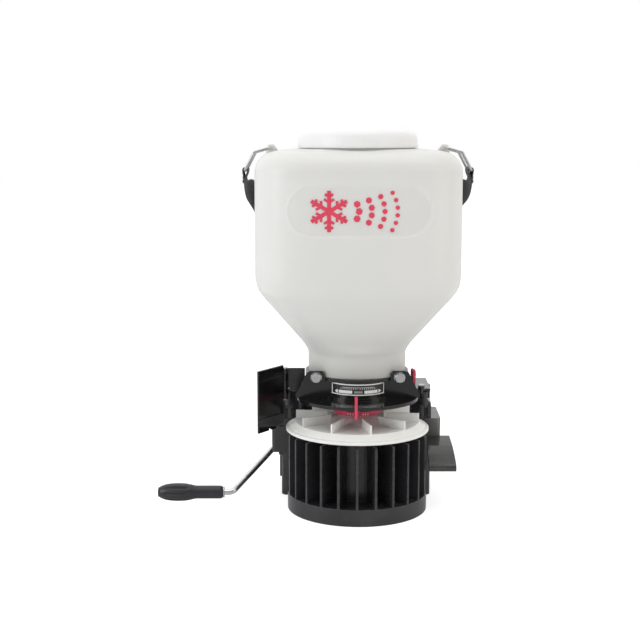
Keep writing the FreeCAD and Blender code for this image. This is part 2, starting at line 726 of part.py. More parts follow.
# ----------------------------------------------------------------- throwing disc
# (radius, height): along the underside, round the rim, then in over the hub cone
DISC_PROFILE = [
    ("shaft_rad + fit_gap", "disc_low"), (14, "disc_low"), (16, "disc_low + 0.8"),
    (20, "disc_low + 7.6"), (73, "disc_low + 7.6"), (76, "disc_low + 6.2"),
    (84.5, "disc_low"), ("disc_rad - 0.6", "disc_low"), ("disc_rad", "disc_low + 0.6"),
    ("disc_rad", "disc_rim - 1.0"), ("disc_rad - 0.9", "disc_rim"),
    ("disc_rad - 4.4", "disc_rim + 0.8"), ("disc_rad - 5.0", "disc_rim + 1.7"),
    ("step_rad + 2", "disc_deck - 1.5"), ("step_rad", "disc_deck"),
    ("cone_rad + 3", "disc_deck"), ("cone_rad - 1", "disc_deck + 1"),
    (14.5, "cone_top - 1.2"), (13.2, "cone_top"), ("shaft_rad + fit_gap", "cone_top"),
]


def throwing_disc():
    disc = doc.addObject("PartDesign::Body", "DiscBody")
    revolve(disc, "DiscTurn", DISC_PROFILE)
    # each vane leans 3 mm sideways from its inner to its outer end
    vane = prismatic("Pad", disc, "VanePad",
                     [("vane_in", "0 - vane_thick/2"), ("vane_out", "0 - vane_thick/2 + 3"),
                      ("vane_out", "vane_thick/2 + 3"), ("vane_in", "vane_thick/2")],
                     "vane_top - disc_deck + 1", "disc_deck - 1")
    pattern = disc.newObject("PartDesign::PolarPattern", "VanePattern")
    pattern.Originals = [vane]
    pattern.Axis = (doc.getObject("VanePadSketch"), ["N_Axis"])
    pattern.Angle = 360.0
    pattern.Occurrences = int(dim.vane_count)
    disc.Tip = pattern
    doc.recompute()
    # slot through the hub for the drive pin
    half_wide, half_long = "pin_rad + fit_gap", 10
    minus_wide = "0 - pin_rad - fit_gap"
    prismatic("Pocket", disc, "PinSlot",
              [(minus_wide, -half_long), (half_wide, -half_long),
               (half_wide, half_long), (minus_wide, half_long)], 6.0, "cone_top - 2.5")
    disc.Placement = Pl(V(0, 0, 0), Rot(Z_AXIS, dim.vane_phase))
    return disc


def agitator():
    """A hub on the shaft's top with a cross bar and two upright fingers."""
    finger_rad = 1.6
    hub = fuse(cyl(8, 9, 0, 0, 149.0), cyl(finger_rad, 34, -17, 0, 153.5, ALONG_X),
               *[cyl(finger_rad, 9, side * 15.5, 0, 152.5) for side in SIDES])
    return cut(hub, cyl("shaft_rad + fit_gap", 40, 0, 0, 120))


def agitator_nut():
    nut = add("Part::Prism", "prism")
    nut.Polygon = 6
    nut.Circumradius = 6.4
    nut.Height = 4
    place(nut, 0, 0, 159.2, Rot())
    return fuse(cyl(7, 1.2, 0, 0, 158.1), nut)


# ---------------------------------------------------------------- direction dial
def direction_dial():
    arm_thick = 4.0
    blank = fuse(
        cyl("dial_rad", "dial_thick", 0, 0, "dial_low"),
        cyl("dial_hub", "flange_low - dial_low + 1.9", 0, 0, "dial_low"),
        # root, arm and upright blade of the pointer
        box(6.0, 3.6, "pointer_low + 4 - dial_low", -3.0, -32.4, "dial_low"),
        box("pointer_wide - 0.8", "pointer_out - 29", arm_thick,
            "0.4 - pointer_wide/2", "0 - pointer_out", "pointer_low"),
        box("pointer_wide", "pointer_out - pointer_in", "pointer_top - pointer_low",
            "0 - pointer_wide/2", "0 - pointer_out", "pointer_low"))
    ports = [feature(sector(8.5, 19.0, 118.0, 146.0, start, start + 62))
             for start in (-125, -55)]
    dial = cut(blank, cyl("shaft_rad + 1.5", 40, 0, 0, 110), *ports)
    dial.Placement = Pl(V(0, 0, 0), Rot(Z_AXIS, dim.pointer_turn))
    return dial


def dial_retainer():
    return cut(cyl(25.8, 1.8, 0, 0, 141.1), cyl(20.0, 6, 0, 0, 139))


# ------------------------------------------------------------------ outlet plate
def outlet_plate():
    front = cut(cyl("flange_rad", "flange_top - flange_low", 0, 0, "flange_low"),
                box(200, 100, 20, -100, 0.0, 130))
    rear = cut(box(188, 104, "flange_top - flange_low", -94, 0, "flange_low"),
               fuse(box(40, 40, 20, -116, -5, 130), box(40, 40, 20, 76, -5, 130)))
    step_ring = cut(cyl("boss_rad + 4.5", 3.2, 0, 0, "flange_top - 0.2"),
                    cyl("boss_rad + 0.12", 10, 0, 0, "flange_top - 0.1"))
    front_ring = cut(step_ring, box(100, 80, 12, -50, -20.2, 140))
    neck_boss = cone(26.0, 30.0, 11.0, 0, 0, 128.2)
    return cut(fuse(front, rear, front_ring, neck_boss),
               cyl("dial_hub + 0.06", 30, 0, 0, 120), cyl(26.0, 4, 0, 0, 141.0),
               *[cyl(2.2, 30, x, y, 130) for x, y in POSTS])


def support_posts():
    return group(cut(cyl(5.0, "flange_low - rear_top - 0.1", x, y, "rear_top + 0.05"),
                     cyl(2.2, 60, x, y, 100)) for x, y in POSTS)


def post_screws():
    return group(fuse(cyl(4.2, 2.4, x, y, "flange_top + 0.05"),
                      cyl(2.1, 45, x, y, "flange_top - 44")) for x, y in POSTS)


# --------------------------------------------------------------------- feed gate
# (radius, height) outlines of the upright tab at the lever's end and of its pad
GATE_TAB = [(72.0, dim.gate_low), (75.0, dim.gate_low), (75.0, 169.0), (73.4, 171.0),
            (72.0, 169.0)]
GATE_PAD = [(72.0, 157.0), (74.9, 159.0), (75.4, 164.0), (75.1, 169.6), (74.0, 171.6),
            (72.0, 170.4)]


def feed_gate():
    low, thick = dim.gate_low, dim.gate_thick
    gate = bar(dim.gate_rad, thick, 0, 0, low)
    for start in (-110, -40):
        gate = gate.cut(sector(9.0, 18.5, low - 1, low + thick + 1, start, start + 50))
    gate = gate.cut(bar(dim.shaft_rad + 1.5, 20, 0, 0, low - 5))
    tab = extrude_poly([(x, -5.0, z) for x, z in GATE_TAB], (0, 10.0, 0))
    tab = tab.fuse(extrude_poly([(x, -5.2, z) for x, z in GATE_PAD], (0, 10.4, 0)))
    lever = block(50.0, 10.0, thick, 24.0, -5.0, low).fuse(tab)
    lever.rotate(V(0, 0, 0), Z_AXIS, dim.gate_angle)
    return feature(gate.fuse(lever).removeSplitter())


def gate_stop_knob():
    x, y = 80.0, 6.0
    return fuse(cyl(2.2, 9.0, x, y, "flange_top + 0.1"), cyl(4.2, 5.0, x, y, "flange_top + 5.0"))


# ------------------------------------------------------------------------ collar
def collar_outline():
    """(x, z) corners of the collar plate, mirrored from its +X half."""
    foot, low = dim.skirt_half, dim.plate_low
    ear_in, ear_out, ear_top, boss_top = dim.ear_in, dim.ear_out, dim.ear_top, dim.boss_top
    half = [(foot, low), (foot, low + 2.0), (foot - 1.0, low + 4.0),
            (ear_out + 2.5, ear_top - 4.0), (ear_out, ear_top - 0.8), (ear_out - 2.0, ear_top),
            (ear_in + 2.0, ear_top), (ear_in + 0.4, ear_top - 0.6), (ear_in, ear_top - 2.0),
            (ear_in - 0.2, ear_top - 5.0), (ear_in - 2.0, boss_top - 0.6),
            (ear_in - 5.0, boss_top - 0.2)]
    return half + [(-x, z) for x, z in reversed(half)]


def bolt_holes(radius, y):
    return [bar(radius, 20, side * dim.bolt_x, y, dim.bolt_z, Y_AXIS) for side in SIDES]


def collar_front():
    front_y, thick, foot = dim.plate_front, dim.plate_thick, dim.skirt_half
    boss_rad, boss_top, ear_in = dim.boss_rad, dim.boss_top, dim.ear_in
    plate = extrude_poly([(x, front_y, z) for x, z in collar_outline()], (0, thick, 0))
    boss = bar(boss_rad, boss_top - ON_PLATE, 0, 0, ON_PLATE)
    boss = boss.common(block(100, 60, 60, -50, PLATE_BACK - 60, 120))
    # the lip under the hopper neck follows the neck's own circle
    lip = sector(50.0, dim.neck_rad + 2.4, boss_top - 4.2, boss_top, -90 - 42, -90 + 42,
                 0, dim.neck_y)
    lip = lip.common(block(2 * ear_in - 1.0, 90, 60, -ear_in + 0.5, PLATE_BACK - 90, 120))
    skirt = extrude_poly([(-foot, front_y, dim.plate_low), (foot, front_y, dim.plate_low),
                          (foot, front_y, ON_PLATE), (-foot, front_y, ON_PLATE)],
                         (0, thick, 0))
    collar = plate.fuse([boss, lip, skirt])
    spout_room = Part.makeCone(32.0, 46.5, 24.0, V(0, 3, 145), Z_AXIS).common(
        block(200, 200, 100, -100, -14.0, 100))
    collar = collar.cut([bar(boss_rad - 2.6, boss_top - 3.2 - 140, 0, 0, 140), spout_room]
                        + bolt_holes(4.1, front_y - 5))
    return feature(collar.removeSplitter())


def collar_rear():
    neck, neck_y, low = dim.neck_rad, dim.neck_y, 164.2
    seat_z = dim.neck_low - 0.1
    behind_plate = PLATE_BACK + 0.1
    keep_rear = block(200, 200, 60, -100, behind_plate, 140)
    ring = sector(neck + 0.4, neck + 3.6, low, 170.0, -42, 222, 0, neck_y)
    ledge = sector(50.0, neck + 3.6, low, seat_z, -42, 222, 0, neck_y)
    rear_wall = sector(neck + 0.4, neck + 4.2, ON_PLATE, 165.0, 60, 120, 0, neck_y)
    ledge = ledge.common(keep_rear)
    ring = ring.common(keep_rear)
    lugs = []
    for side in SIDES:
        lugs.append(side_block(side, 17.5, 3.5, 21.0, 44.5, behind_plate, 154.0))
        # side cheeks join the ring to the bolt lug
        lugs.append(side_block(side, 4.0, 36.0, 5.8, 60.0, behind_plate, low))
    collar = ring.fuse([ledge, rear_wall] + lugs)
    collar = collar.cut([bar(neck + 0.35, 30, 0, neck_y, seat_z)]
                        + bolt_holes(3.9, dim.plate_front))
    return feature(collar.removeSplitter())


def collar_bolts():
    """Hexagon bolts with chamfered heads, their heads on the plate's front."""
    face, z = dim.plate_front, dim.bolt_z
    bolts = []
    for side in SIDES:
        x = side * dim.bolt_x
        corners = [(x + 6.8 * math.sin(math.radians(60 * k)), face - 1.3,
                    z + 6.8 * math.cos(math.radians(60 * k))) for k in range(6)]
        crown = Part.makeCone(5.4, 7.0, 1.6, V(x, face - 6.6, z), Y_AXIS).fuse(
            bar(7.0, 5.0, x, face - 5.0, z, Y_AXIS))
        head = extrude_poly(corners, (0, -5.3, 0)).common(crown)
        bolts.append(head.fuse(bar(3.85, 7.9, x, face - 2.0, z, Y_AXIS)))
    return feature(Part.Compound(bolts))


def collar_washers():
    face, z = dim.plate_front, dim.bolt_z
    return feature(Part.Compound([
        bar(6.9, 1.2, side * dim.bolt_x, face - 1.25, z, Y_AXIS).cut(
            bar(4.0, 4, side * dim.bolt_x, face - 3, z, Y_AXIS)) for side in SIDES]))


def direction_label():
    half_span = 56.5
    return feature(sector(dim.boss_rad + 0.05, dim.boss_rad + 0.5, 149.4, 163.6,
                          -90 - half_span, -90 + half_span))


# ------------------------------------------------------------------------ hopper
def hopper_rows():
    """(half width, half depth, squareness, height) up the hopper's outside."""
    neck, neck_top = dim.neck_rad, dim.neck_top
    half, deep = dim.body_half, dim.body_deep
    funnel, low, top = dim.funnel_top, dim.shoulder_low, dim.shoulder_top
    rows = [(neck, neck, 2.0, dim.neck_low), (neck, neck, 2.0, 180.0),
            (neck, neck, 2.0, neck_top - 7), (neck + 0.7, neck + 0.7, 2.0, neck_top - 2.5),
            (neck + 3.2, neck + 3.0, 2.02, neck_top + 2.5)]
    for part in (0.15, 0.35, 0.55, 0.75, 0.92):       # the straight funnel
        rows.append((neck + part * (dim.funnel_half - neck), neck + part * (96.0 - neck),
                     2.0 + 1.6 * part, neck_top + part * (funnel - neck_top)))
    return rows + [
        (dim.funnel_half + 1.8, 97.4, 3.75, funnel + 4.0), (half - 1.6, 98.7, 3.85, funnel + 10.0),
        (half - 0.3, 99.8, 3.95, funnel + 18.0), (half, deep, 4.0, funnel + 30.0),
        (half, deep, 4.0, 340.0), (half, deep, 4.0, 390.0), (half, deep, 4.0, low - 14),
        (half - 0.4, deep - 0.4, 4.0, low - 4), (half - 2.6, deep - 2.6, 3.9, low + 4),
        (half - 7.5, deep - 7.0, 3.7, low + 11), (half - 15.0, deep - 14.0, 3.4, low + 16),
        (98.0, 78.5, 2.8, top - 2.6), (82.0, 74.0, 2.2, top - 0.9)]


def inner_rows():
    """The hopper's inside: one skin in, with the shoulder one skin lower."""
    skin, narrow = dim.skin, dim.neck_rad - 5.0
    rows = [(a - skin, b - skin, power, z - (skin if z > 430 else 0))
            for a, b, power, z in hopper_rows()]
    rows[:2] = [(narrow, narrow, 2.0, dim.neck_low + 3.0), (narrow, narrow, 2.0, 180.5)]
    return rows


def hopper_section(half_x, half_y, power, z, count=40):
    """A superellipse round the hopper axis as a closed spline."""
    points = []
    for i in range(count):
        angle = 2 * math.pi * i / count
        cos, sin = math.cos(angle), math.sin(angle)
        points.append(V(half_x * math.copysign(abs(cos) ** (2.0 / power), cos),
                        dim.neck_y + half_y * math.copysign(abs(sin) ** (2.0 / power), sin), z))
    curve = Part.BSplineCurve()
    curve.interpolate(points, PeriodicFlag=True)
    return Part.Wire([curve.toShape()])


def hopper_loft(rows):
    return Part.makeLoft([hopper_section(*row) for row in rows], True, True)


def round_loft(rows, inset):
    """A loft through circles given as (radius, y, z)."""
    return Part.makeLoft([Part.Wire([Part.Circle(V(0, y, z), Z_AXIS, radius - inset).toShape()])
                          for radius, y, z in rows], True, True)


# (radius, y, z) of the spout, which slants forward and down to the disc axis
SPOUT_ROWS = [(29.2, 0.0, 146.2), (29.4, 1.0, 150.0), (43.5, 30.5, dim.neck_low + 0.5)]
# the bore runs on past both ends
BORE_ROWS = [(29.2, 0.0, 140.0)] + SPOUT_ROWS + [(43.5, 30.5, dim.neck_low + 8)]


def strap_lug(side):
    """A lug on the shoulder with a cross hole for its bail."""
    x, y, z = dim.lug_x, dim.neck_y, dim.lug_z
    outline = [(x - 9, z - 14), (x - 9, z - 3), (x - 3, z + 4.6), (x + 3, z + 4.6),
               (x + 6, z), (x + 6, z - 12)]
    lug = extrude_poly([(side * px, y - 6, pz) for px, pz in outline], (0, 12, 0))
    return lug.cut(bar(dim.bail_rad + 0.08, 40, side * x, y - 20, z, Y_AXIS))


def hopper():
    inside = hopper_loft(inner_rows())
    top = dim.shoulder_top
    mouth = bar(dim.mouth_rad, 60, 0, dim.neck_y, top - 20)
    fill_neck = bar(dim.mouth_rad + 4.0, 17.0, 0, dim.neck_y, top - 3.0).cut(mouth)
    bore = round_loft(BORE_ROWS, 2.6)
    shape = hopper_loft(hopper_rows()).cut(inside)
    shape = shape.cut(mouth)
    shape = shape.cut(bore)
    shape = shape.fuse(round_loft(SPOUT_ROWS, 0.0).cut(bore))
    shape = shape.fuse(fill_neck)
    for side in SIDES:
        shape = shape.fuse(strap_lug(side).cut(inside))
    # the boolean may wrap its one solid in a compound
    if shape.ShapeType == "Compound" and len(shape.Solids) == 1:
        shape = shape.Solids[0]
    return feature(shape)


# --------------------------------------------------------------------------- lid
# (radius, height): up the skirt's outside, over the top and back underneath
LID_PROFILE = [
    ("mouth_rad + 4.25", "lid_low"), ("lid_rad", "lid_low"), ("lid_rad", "lid_low + 2.5"),
    ("lid_rad - 0.8", "lid_top - 8"), ("lid_rad - 2.2", "lid_top - 4.6"),
    ("lid_rad - 5.4", "lid_top - 2.2"), ("lid_rad - 11", "lid_top - 1"),
    ("lid_rad - 30", "lid_top - 0.2"), (0, "lid_top"), (0, "lid_top - 3.2"),
    ("lid_rad - 12", "lid_top - 4.4"), ("mouth_rad + 4.25", "lid_top - 5.2"),
]


def lid():
    body = doc.addObject("PartDesign::Body", "LidBody")
    revolve(body, "LidTurn", LID_PROFILE)
    body.Placement = Pl(V(0, dim.neck_y, 0), Rot())
    return body


def lid_seal():
    return cut(cyl("mouth_rad + 3.6", 1.6, 0, "neck_y", "shoulder_top + 14.1"),
               cyl("mouth_rad + 0.5", 6, 0, "neck_y", "shoulder_top + 12"))


# --------------------------------------------------------------------- deflector
KNUCKLE_RAD = 4.0


def side_deflector():
    """The leaf is built along +X from its hinge at the origin, then turned."""
    low, top, thick = dim.defl_low, dim.defl_top, dim.defl_thick
    hinge_hole = dim.pin_rad + 0.05
    leaf = block(dim.defl_long - 4.7, thick, top - low, 4.7, -thick / 2, low)
    knuckles = []
    for start, end in ((low + 34, 147.0), (158.0, 167.0)):
        knuckles.append(bar(KNUCKLE_RAD, end - start, 0, 0, start))
        knuckles.append(block(5.4, thick, end - start, 0, -thick / 2, start))
    notches = [block(length, 6.0, 3.0, x, -3.0, low - 0.5)
               for length, x in ((9.0, 12.0), (5.0, 30.0))]
    leaf = leaf.fuse(knuckles).cut(notches)
    ribs = [block(48.0, 1.2, 1.6, 4.5, thick / 2 - 0.1, z) for z in (low + 16, top - 14)]
    leaf = leaf.fuse(ribs).cut(bar(hinge_hole, 120, 0, 0, low - 10))
    leaf = leaf.removeSplitter()
    leaf.rotate(V(0, 0, 0), Z_AXIS, dim.defl_turn)
    leaf.translate(V(dim.hinge_x, dim.hinge_y, 0))
    return feature(leaf)


def deflector_bracket():
    x, y, back_y = dim.hinge_x, dim.hinge_y, 19.3
    plate = block(25.1, 2.6, 29.5, -90.5, back_y, ON_PLATE)
    arms = [bar(KNUCKLE_RAD, end - start, x, y, start).fuse(
                block(2 * KNUCKLE_RAD, 6.0, end - start, x - KNUCKLE_RAD, y, start))
            for start, end in ((147.2, 157.8), (167.2, 172.6))]
    # clear the pin and the leaf's lower and upper knuckles
    bracket = plate.fuse(arms).cut([bar(dim.pin_rad + 0.05, 80, x, y, 120),
                                    sector(4.6, 9.0, 132, 147.1, 0, 360, x, y),
                                    bar(4.7, 9.0, x, y, 158.0)])
    foot = block(21.0, 22.0, 3.0, -88.5, back_y, ON_PLATE)
    return feature(bracket.fuse(foot).removeSplitter())


def deflector_pin():
    x, y = dim.hinge_x, dim.hinge_y
    return feature(bar(dim.pin_rad, 41.0, x, y, 133.0).fuse(bar(3.4, 1.6, x, y, 172.7)))


# -------------------------------------------------------------- side stanchions
def side_stanchions():
    """On each side a round post on an arm, with a foot down to the rear block."""
    arm_z, arm_thick = 118.5, 4.0
    foot_z = dim.rear_top + 0.1
    stanchions = []
    for side in SIDES:
        parts = [side_block(side, 9.0, 20.0, arm_thick, 81.5, 32.0, arm_z),
                 side_block(side, 13.0, 12.0, arm_thick, 83.0, 46.0, arm_z),
                 side_block(side, 4.2, 9.0, arm_z + 0.2 - foot_z, 92.2, 46.5, foot_z)]
        # clear the support post
        shape = bar(4.3, 16.5, side * 86, 34, 122.4).fuse(parts).cut(
            bar(5.3, 60, side * 84, 50, 100))
        stanchions.append(largest(shape.removeSplitter()))
    return feature(Part.Compound(stanchions))


def stanchion_screws():
    y = 54.0
    return feature(Part.Compound([
        bar(3.2, 1.6, side * 93.0, y, 122.6).fuse(bar(2.2, 1.6, side * 93.0, y, 124.0))
        for side in SIDES]))


# --------------------------------------------------------------------- hand rest
# (y, z): from the rear end forward along the top, round the front hook and back
REST_PROFILE = [
    (49.0, 78.0), (47.0, 78.7), (44.0, 78.3), (30.0, 75.6), (18.0, 72.8), (8.0, 69.6),
    (0.0, 66.6), (-8.0, 62.9), (-14.0, 60.1), (-18.0, 58.4), (-20.2, 56.9), (-21.2, 54.6),
    (-21.0, 51.6), (-19.4, 49.4), (-16.4, 48.7), (-13.0, 49.6), (-8.0, 56.0), (0.0, 61.4),
    (8.0, 64.6), (18.0, 68.0), (30.0, 70.8), (44.0, 73.4), (47.0, 74.2), (49.0, 75.2),
]
# (x, y) of the rest seen from above
REST_PLAN = [(88.0, 101), (118.4, 101), (119.8, 60.0), (122.6, -8.0), (122.9, -30.0),
             (88.0, -30.0)]


def hand_rest():
    rest = extrude_poly([(89.0, y, z) for y, z in REST_PROFILE], (34.0, 0, 0))
    rest = rest.common(extrude_poly([(x, y, 40) for x, y in REST_PLAN], (0, 0, 60)))
    gap = 0.05
    low, upper, step = dim.low_half, dim.rear_half, dim.rear_step
    # clear the drum and both widths of the rear block
    rest = rest.cut([bar(dim.drum_rad + 2.0, 120, 0, 0, 0),
                     block(2 * low + 2 * gap, 90, step + 0.2, -low - gap, 34.9, 0),
                     block(2 * upper + 2 * gap, 90, 90, -upper - gap, dim.rear_front - gap,
                           step - 0.1)])
    return feature(largest(rest).removeSplitter())


# ------------------------------------------------------------------- belly plate
# (x, y): the rear face is slightly hollow towards the middle
BELLY_PLAN = [
    ("0 - rear_half + 8", "rear_back + 0.1"), ("rear_half - 8", "rear_back + 0.1"),
    ("rear_half - 8", "rear_back + 8"), ("rear_half - 30", "rear_back + 5"),
    (0, "rear_back + 4"), ("0 - rear_half + 30", "rear_back + 5"),
    ("0 - rear_half + 8", "rear_back + 8"),
]


def belly_plate():
    body = doc.addObject("PartDesign::Body", "BellyBody")
    prismatic("Pad", body, "BellyPad", BELLY_PLAN, 126.0, 6.0)
    return body


# ------------------------------------------------------------------------- strap
# the bail's outer bar, measured outward and down from the lug pin
BAIL_OUT, BAIL_DROP = 31.0, 27.0


def strap_bail(side):
    """A closed wire loop through the lug; it starts and ends mid-way along the pin."""
    y, z, half = dim.neck_y, dim.lug_z, 21
    pin_x = side * dim.lug_x
    knee_x, knee_z = side * (dim.lug_x + 19.5), z - 5.5
    out_x, out_z = side * (dim.lug_x + BAIL_OUT), z - BAIL_DROP
    return feature(wire_rod([
        (pin_x, y, z), (pin_x, y + half, z), (knee_x, y + half, knee_z),
        (out_x, y + half, out_z), (out_x, y - half, out_z), (knee_x, y - half, knee_z),
        (pin_x, y - half, z), (pin_x, y, z)], dim.bail_rad, bend=4.0))


def strap_end(side):
    """The webbing's folded end, wrapped round the bail's outer bar."""
    x, y, z = side * (dim.lug_x + BAIL_OUT), dim.neck_y, dim.lug_z - BAIL_DROP
    wide, thick = 34.0, 3.9
    tail = block(thick, wide, 15.0, -thick / 2, -wide / 2, -15.0)
    tail.rotate(V(0, 0, 0), Y_AXIS, -side * 4.0)
    tail.translate(V(x, y, z - 1.0))
    fold = bar(dim.bail_rad + 2.1, wide, x, y - wide / 2, z, Y_AXIS).fuse(tail)
    fold = fold.cut(bar(dim.bail_rad + 0.08, 60, x, y - 30, z, Y_AXIS))
    return feature(fold.removeSplitter())


# (centre, width direction, thickness direction) from the +X strap end to the middle
STRAP_STATIONS = [
    ((138.6, dim.neck_y, 400.0), (0, 1, 0), (1, 0, 0)),
    ((136.8, 40, 386.0), (0, 0.93, 0.37), (1, 0.05, 0)),
    ((133.4, 66, 370.0), (0, 0.80, 0.60), (1, 0.15, 0)),
    ((130.0, 98, 346.0), (0, 0.62, 0.78), (1, 0.3, 0)),
    ((121.0, 128, 314.0), (-0.3, 0.2, 0.93), (0.8, 0.6, 0)),
    ((98.0, 148, 284.0), (-0.35, 0, 0.93), (0.4, 0.92, 0)),
    ((62.0, 156, 255.0), (-0.3, 0, 0.95), (0.15, 0.99, 0)),
    ((28.0, 158, 241.0), (-0.14, 0, 0.99), (0.05, 1, 0)),
    ((0.0, 158.5, 237.5), (0, 0, 1), (0, 1, 0)),
]


def strap_webbing():
    wires = []
    for centre, width_way, thick_way in STRAP_STATIONS:
        c = V(*centre)
        a = V(*width_way).normalize() * (dim.web_wide / 2)
        b = V(*thick_way).normalize() * (dim.web_thick / 2)
        wires.append(Part.makePolygon([c - a - b, c + a - b, c + a + b, c - a + b, c - a - b]))
    half = Part.makeLoft(wires, True, True)
    return feature(half.fuse(half.mirror(V(0, 0, 0), X_AXIS)).removeSplitter())


def strap_adjuster():
    """A rectangular sleeve round the middle of the strap, open at both ends."""
    y, z = 158.4, 238.2
    thick, high = 7.0, 48.0
    slot_thick, slot_high = 3.4, 42.5
    return feature(block(22.0, thick, high, -11.0, y - thick / 2, z - high / 2).cut(
        block(40.0, slot_thick, slot_high, -20.0, y - slot_thick / 2, z - slot_high / 2)))


# --------------------------------------------------------- build, check and write
PIECES = {
    "base_housing": base_housing(),
    "bottom_cover": bottom_cover(),
    "cover_screws": cover_screws(),
    "disc_foot_bush": foot_bush(0),
    "jackshaft_foot_bush": foot_bush("crank_y"),
    "disc_shaft_bush": deck_bush(16, 0, "deck_top - 14"),
    "jackshaft_top_bush": deck_bush(8.1, "crank_y", "deck_top - 5.7"),
    "crank_outer_bush": crank_outer_bush(),
    "crank_inner_bush": crank_inner_bush(),
    "spur_gear": spur_gear(),
    "disc_pinion": disc_pinion(),
    "crank_bevel_gear": crank_bevel_gear(),
    "jackshaft_bevel_pinion": jackshaft_bevel_pinion(),
    "disc_shaft": disc_shaft(),
    "jackshaft": shaft("deck_top - 5.5", "crank_y"),
    "disc_shaft_clip": disc_shaft_clip(),
    "disc_drive_pin": disc_cross_bar(dim.pin_rad, 19),
    "crank_rod": crank_rod(),
    "crank_gear_pin": crank_gear_pin(),
    "crank_stop_collar": crank_stop_collar(),
    "crank_grip": crank_grip(),
    "grip_end_cap": grip_end_cap(),
    "grip_washer": grip_washer(),
    "throwing_disc": throwing_disc(),
    "agitator": agitator(),
    "agitator_nut": agitator_nut(),
    "direction_dial": direction_dial(),
    "dial_retainer": dial_retainer(),
    "outlet_plate": outlet_plate(),
    "support_posts": support_posts(),
    "feed_gate": feed_gate(),
    "gate_stop_knob": gate_stop_knob(),
    "collar_front": collar_front(),
    "collar_rear": collar_rear(),
    "collar_bolts": collar_bolts(),
    "collar_washers": collar_washers(),
    "direction_label": direction_label(),
    "hopper": hopper(),
    "lid": lid(),
    "lid_seal": lid_seal(),
    "side_deflector": side_deflector(),
    "deflector_bracket": deflector_bracket(),
    "deflector_pin": deflector_pin(),
    "side_stanchions": side_stanchions(),
    "stanchion_screws": stanchion_screws(),
    "post_screws": post_screws(),
    "hand_rest": hand_rest(),
    "belly_plate": belly_plate(),
    "strap_bail_left": strap_bail(-1),
    "strap_end_left": strap_end(-1),
    "strap_bail_right": strap_bail(1),
    "strap_end_right": strap_end(1),
    "strap_webbing": strap_webbing(),
    "strap_adjuster": strap_adjuster(),
}
for label, piece in PIECES.items():
    piece.Label = label
doc.recompute()

failed = [(obj.Name, obj.State) for obj in doc.Objects
          if "Invalid" in obj.State or "Error" in obj.State]
for label, piece in PIECES.items():
    if piece.Shape.isNull() or not piece.Shape.isValid() or not piece.Shape.Solids:
        failed.append((label, "null or invalid shape"))
if failed:
    raise RuntimeError("objects failed: %s" % failed)

os.makedirs("parts", exist_ok=True)
for label, piece in PIECES.items():
    piece.Shape.exportStep("parts/%s.step" % label)
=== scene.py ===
"""Looks for a hand-cranked granule spreader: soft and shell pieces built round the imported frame.

+Z is up and the front faces -Y. The floor lies under the lowest CAD point, and the hopper stands
on a vertical axis at y = 29 mm. Shapes are given in millimetres, materials and stage in metres.
"""
import math

import bmesh
import bpy
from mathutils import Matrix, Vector


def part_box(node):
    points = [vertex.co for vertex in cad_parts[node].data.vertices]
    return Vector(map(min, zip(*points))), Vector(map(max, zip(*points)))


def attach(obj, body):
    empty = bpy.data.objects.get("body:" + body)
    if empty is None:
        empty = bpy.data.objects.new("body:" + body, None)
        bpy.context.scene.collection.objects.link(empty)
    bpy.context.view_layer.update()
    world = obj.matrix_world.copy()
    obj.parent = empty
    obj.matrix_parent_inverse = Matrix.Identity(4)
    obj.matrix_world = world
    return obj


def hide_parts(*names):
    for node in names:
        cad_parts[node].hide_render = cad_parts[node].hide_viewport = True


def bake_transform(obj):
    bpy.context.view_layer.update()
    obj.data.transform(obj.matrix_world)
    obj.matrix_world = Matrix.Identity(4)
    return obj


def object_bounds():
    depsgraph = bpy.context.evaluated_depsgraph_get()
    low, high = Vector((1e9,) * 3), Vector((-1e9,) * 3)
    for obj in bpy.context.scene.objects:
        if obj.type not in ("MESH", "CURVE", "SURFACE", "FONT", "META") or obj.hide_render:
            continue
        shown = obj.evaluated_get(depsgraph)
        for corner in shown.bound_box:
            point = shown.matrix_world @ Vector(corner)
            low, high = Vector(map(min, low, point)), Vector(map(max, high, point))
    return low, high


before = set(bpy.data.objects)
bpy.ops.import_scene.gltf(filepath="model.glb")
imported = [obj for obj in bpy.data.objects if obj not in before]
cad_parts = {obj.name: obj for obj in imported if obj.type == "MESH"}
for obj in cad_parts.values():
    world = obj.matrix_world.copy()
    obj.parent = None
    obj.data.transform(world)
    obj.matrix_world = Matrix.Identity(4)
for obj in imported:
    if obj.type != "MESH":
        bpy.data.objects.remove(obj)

CAD_BOX = [list(v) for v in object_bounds()]
MM = 0.001                # one millimetre, in metres
HOPPER_Y = 29.0           # the hopper's vertical axis, also the middle of the straps' ends
UV_UNIT = 100.0           # millimetres of webbing to one UV unit
SIDES = ((-1, "left"), (1, "right"))
scene = bpy.context.scene
coll = scene.collection


# --------------------------------------------------------------------------- mesh helpers
def new_mesh(name, verts, faces, smooth=True):
    mesh = bpy.data.meshes.new(name)
    mesh.from_pydata([tuple(v) for v in verts], [], faces)
    mesh.validate()
    mesh.update()
    ob = bpy.data.objects.new(name, mesh)
    coll.objects.link(ob)
    if smooth:
        mesh.polygons.foreach_set("use_smooth", [True] * len(mesh.polygons))
    return ob


def fix_normals(ob, merge=True):
    """Turn the faces outwards, after merging coincident vertices if asked."""
    bm = bmesh.new()
    bm.from_mesh(ob.data)
    if merge:
        bmesh.ops.remove_doubles(bm, verts=bm.verts, dist=1e-7)
    bmesh.ops.recalc_face_normals(bm, faces=bm.faces)
    bm.to_mesh(ob.data)
    bm.free()
    ob.data.update()


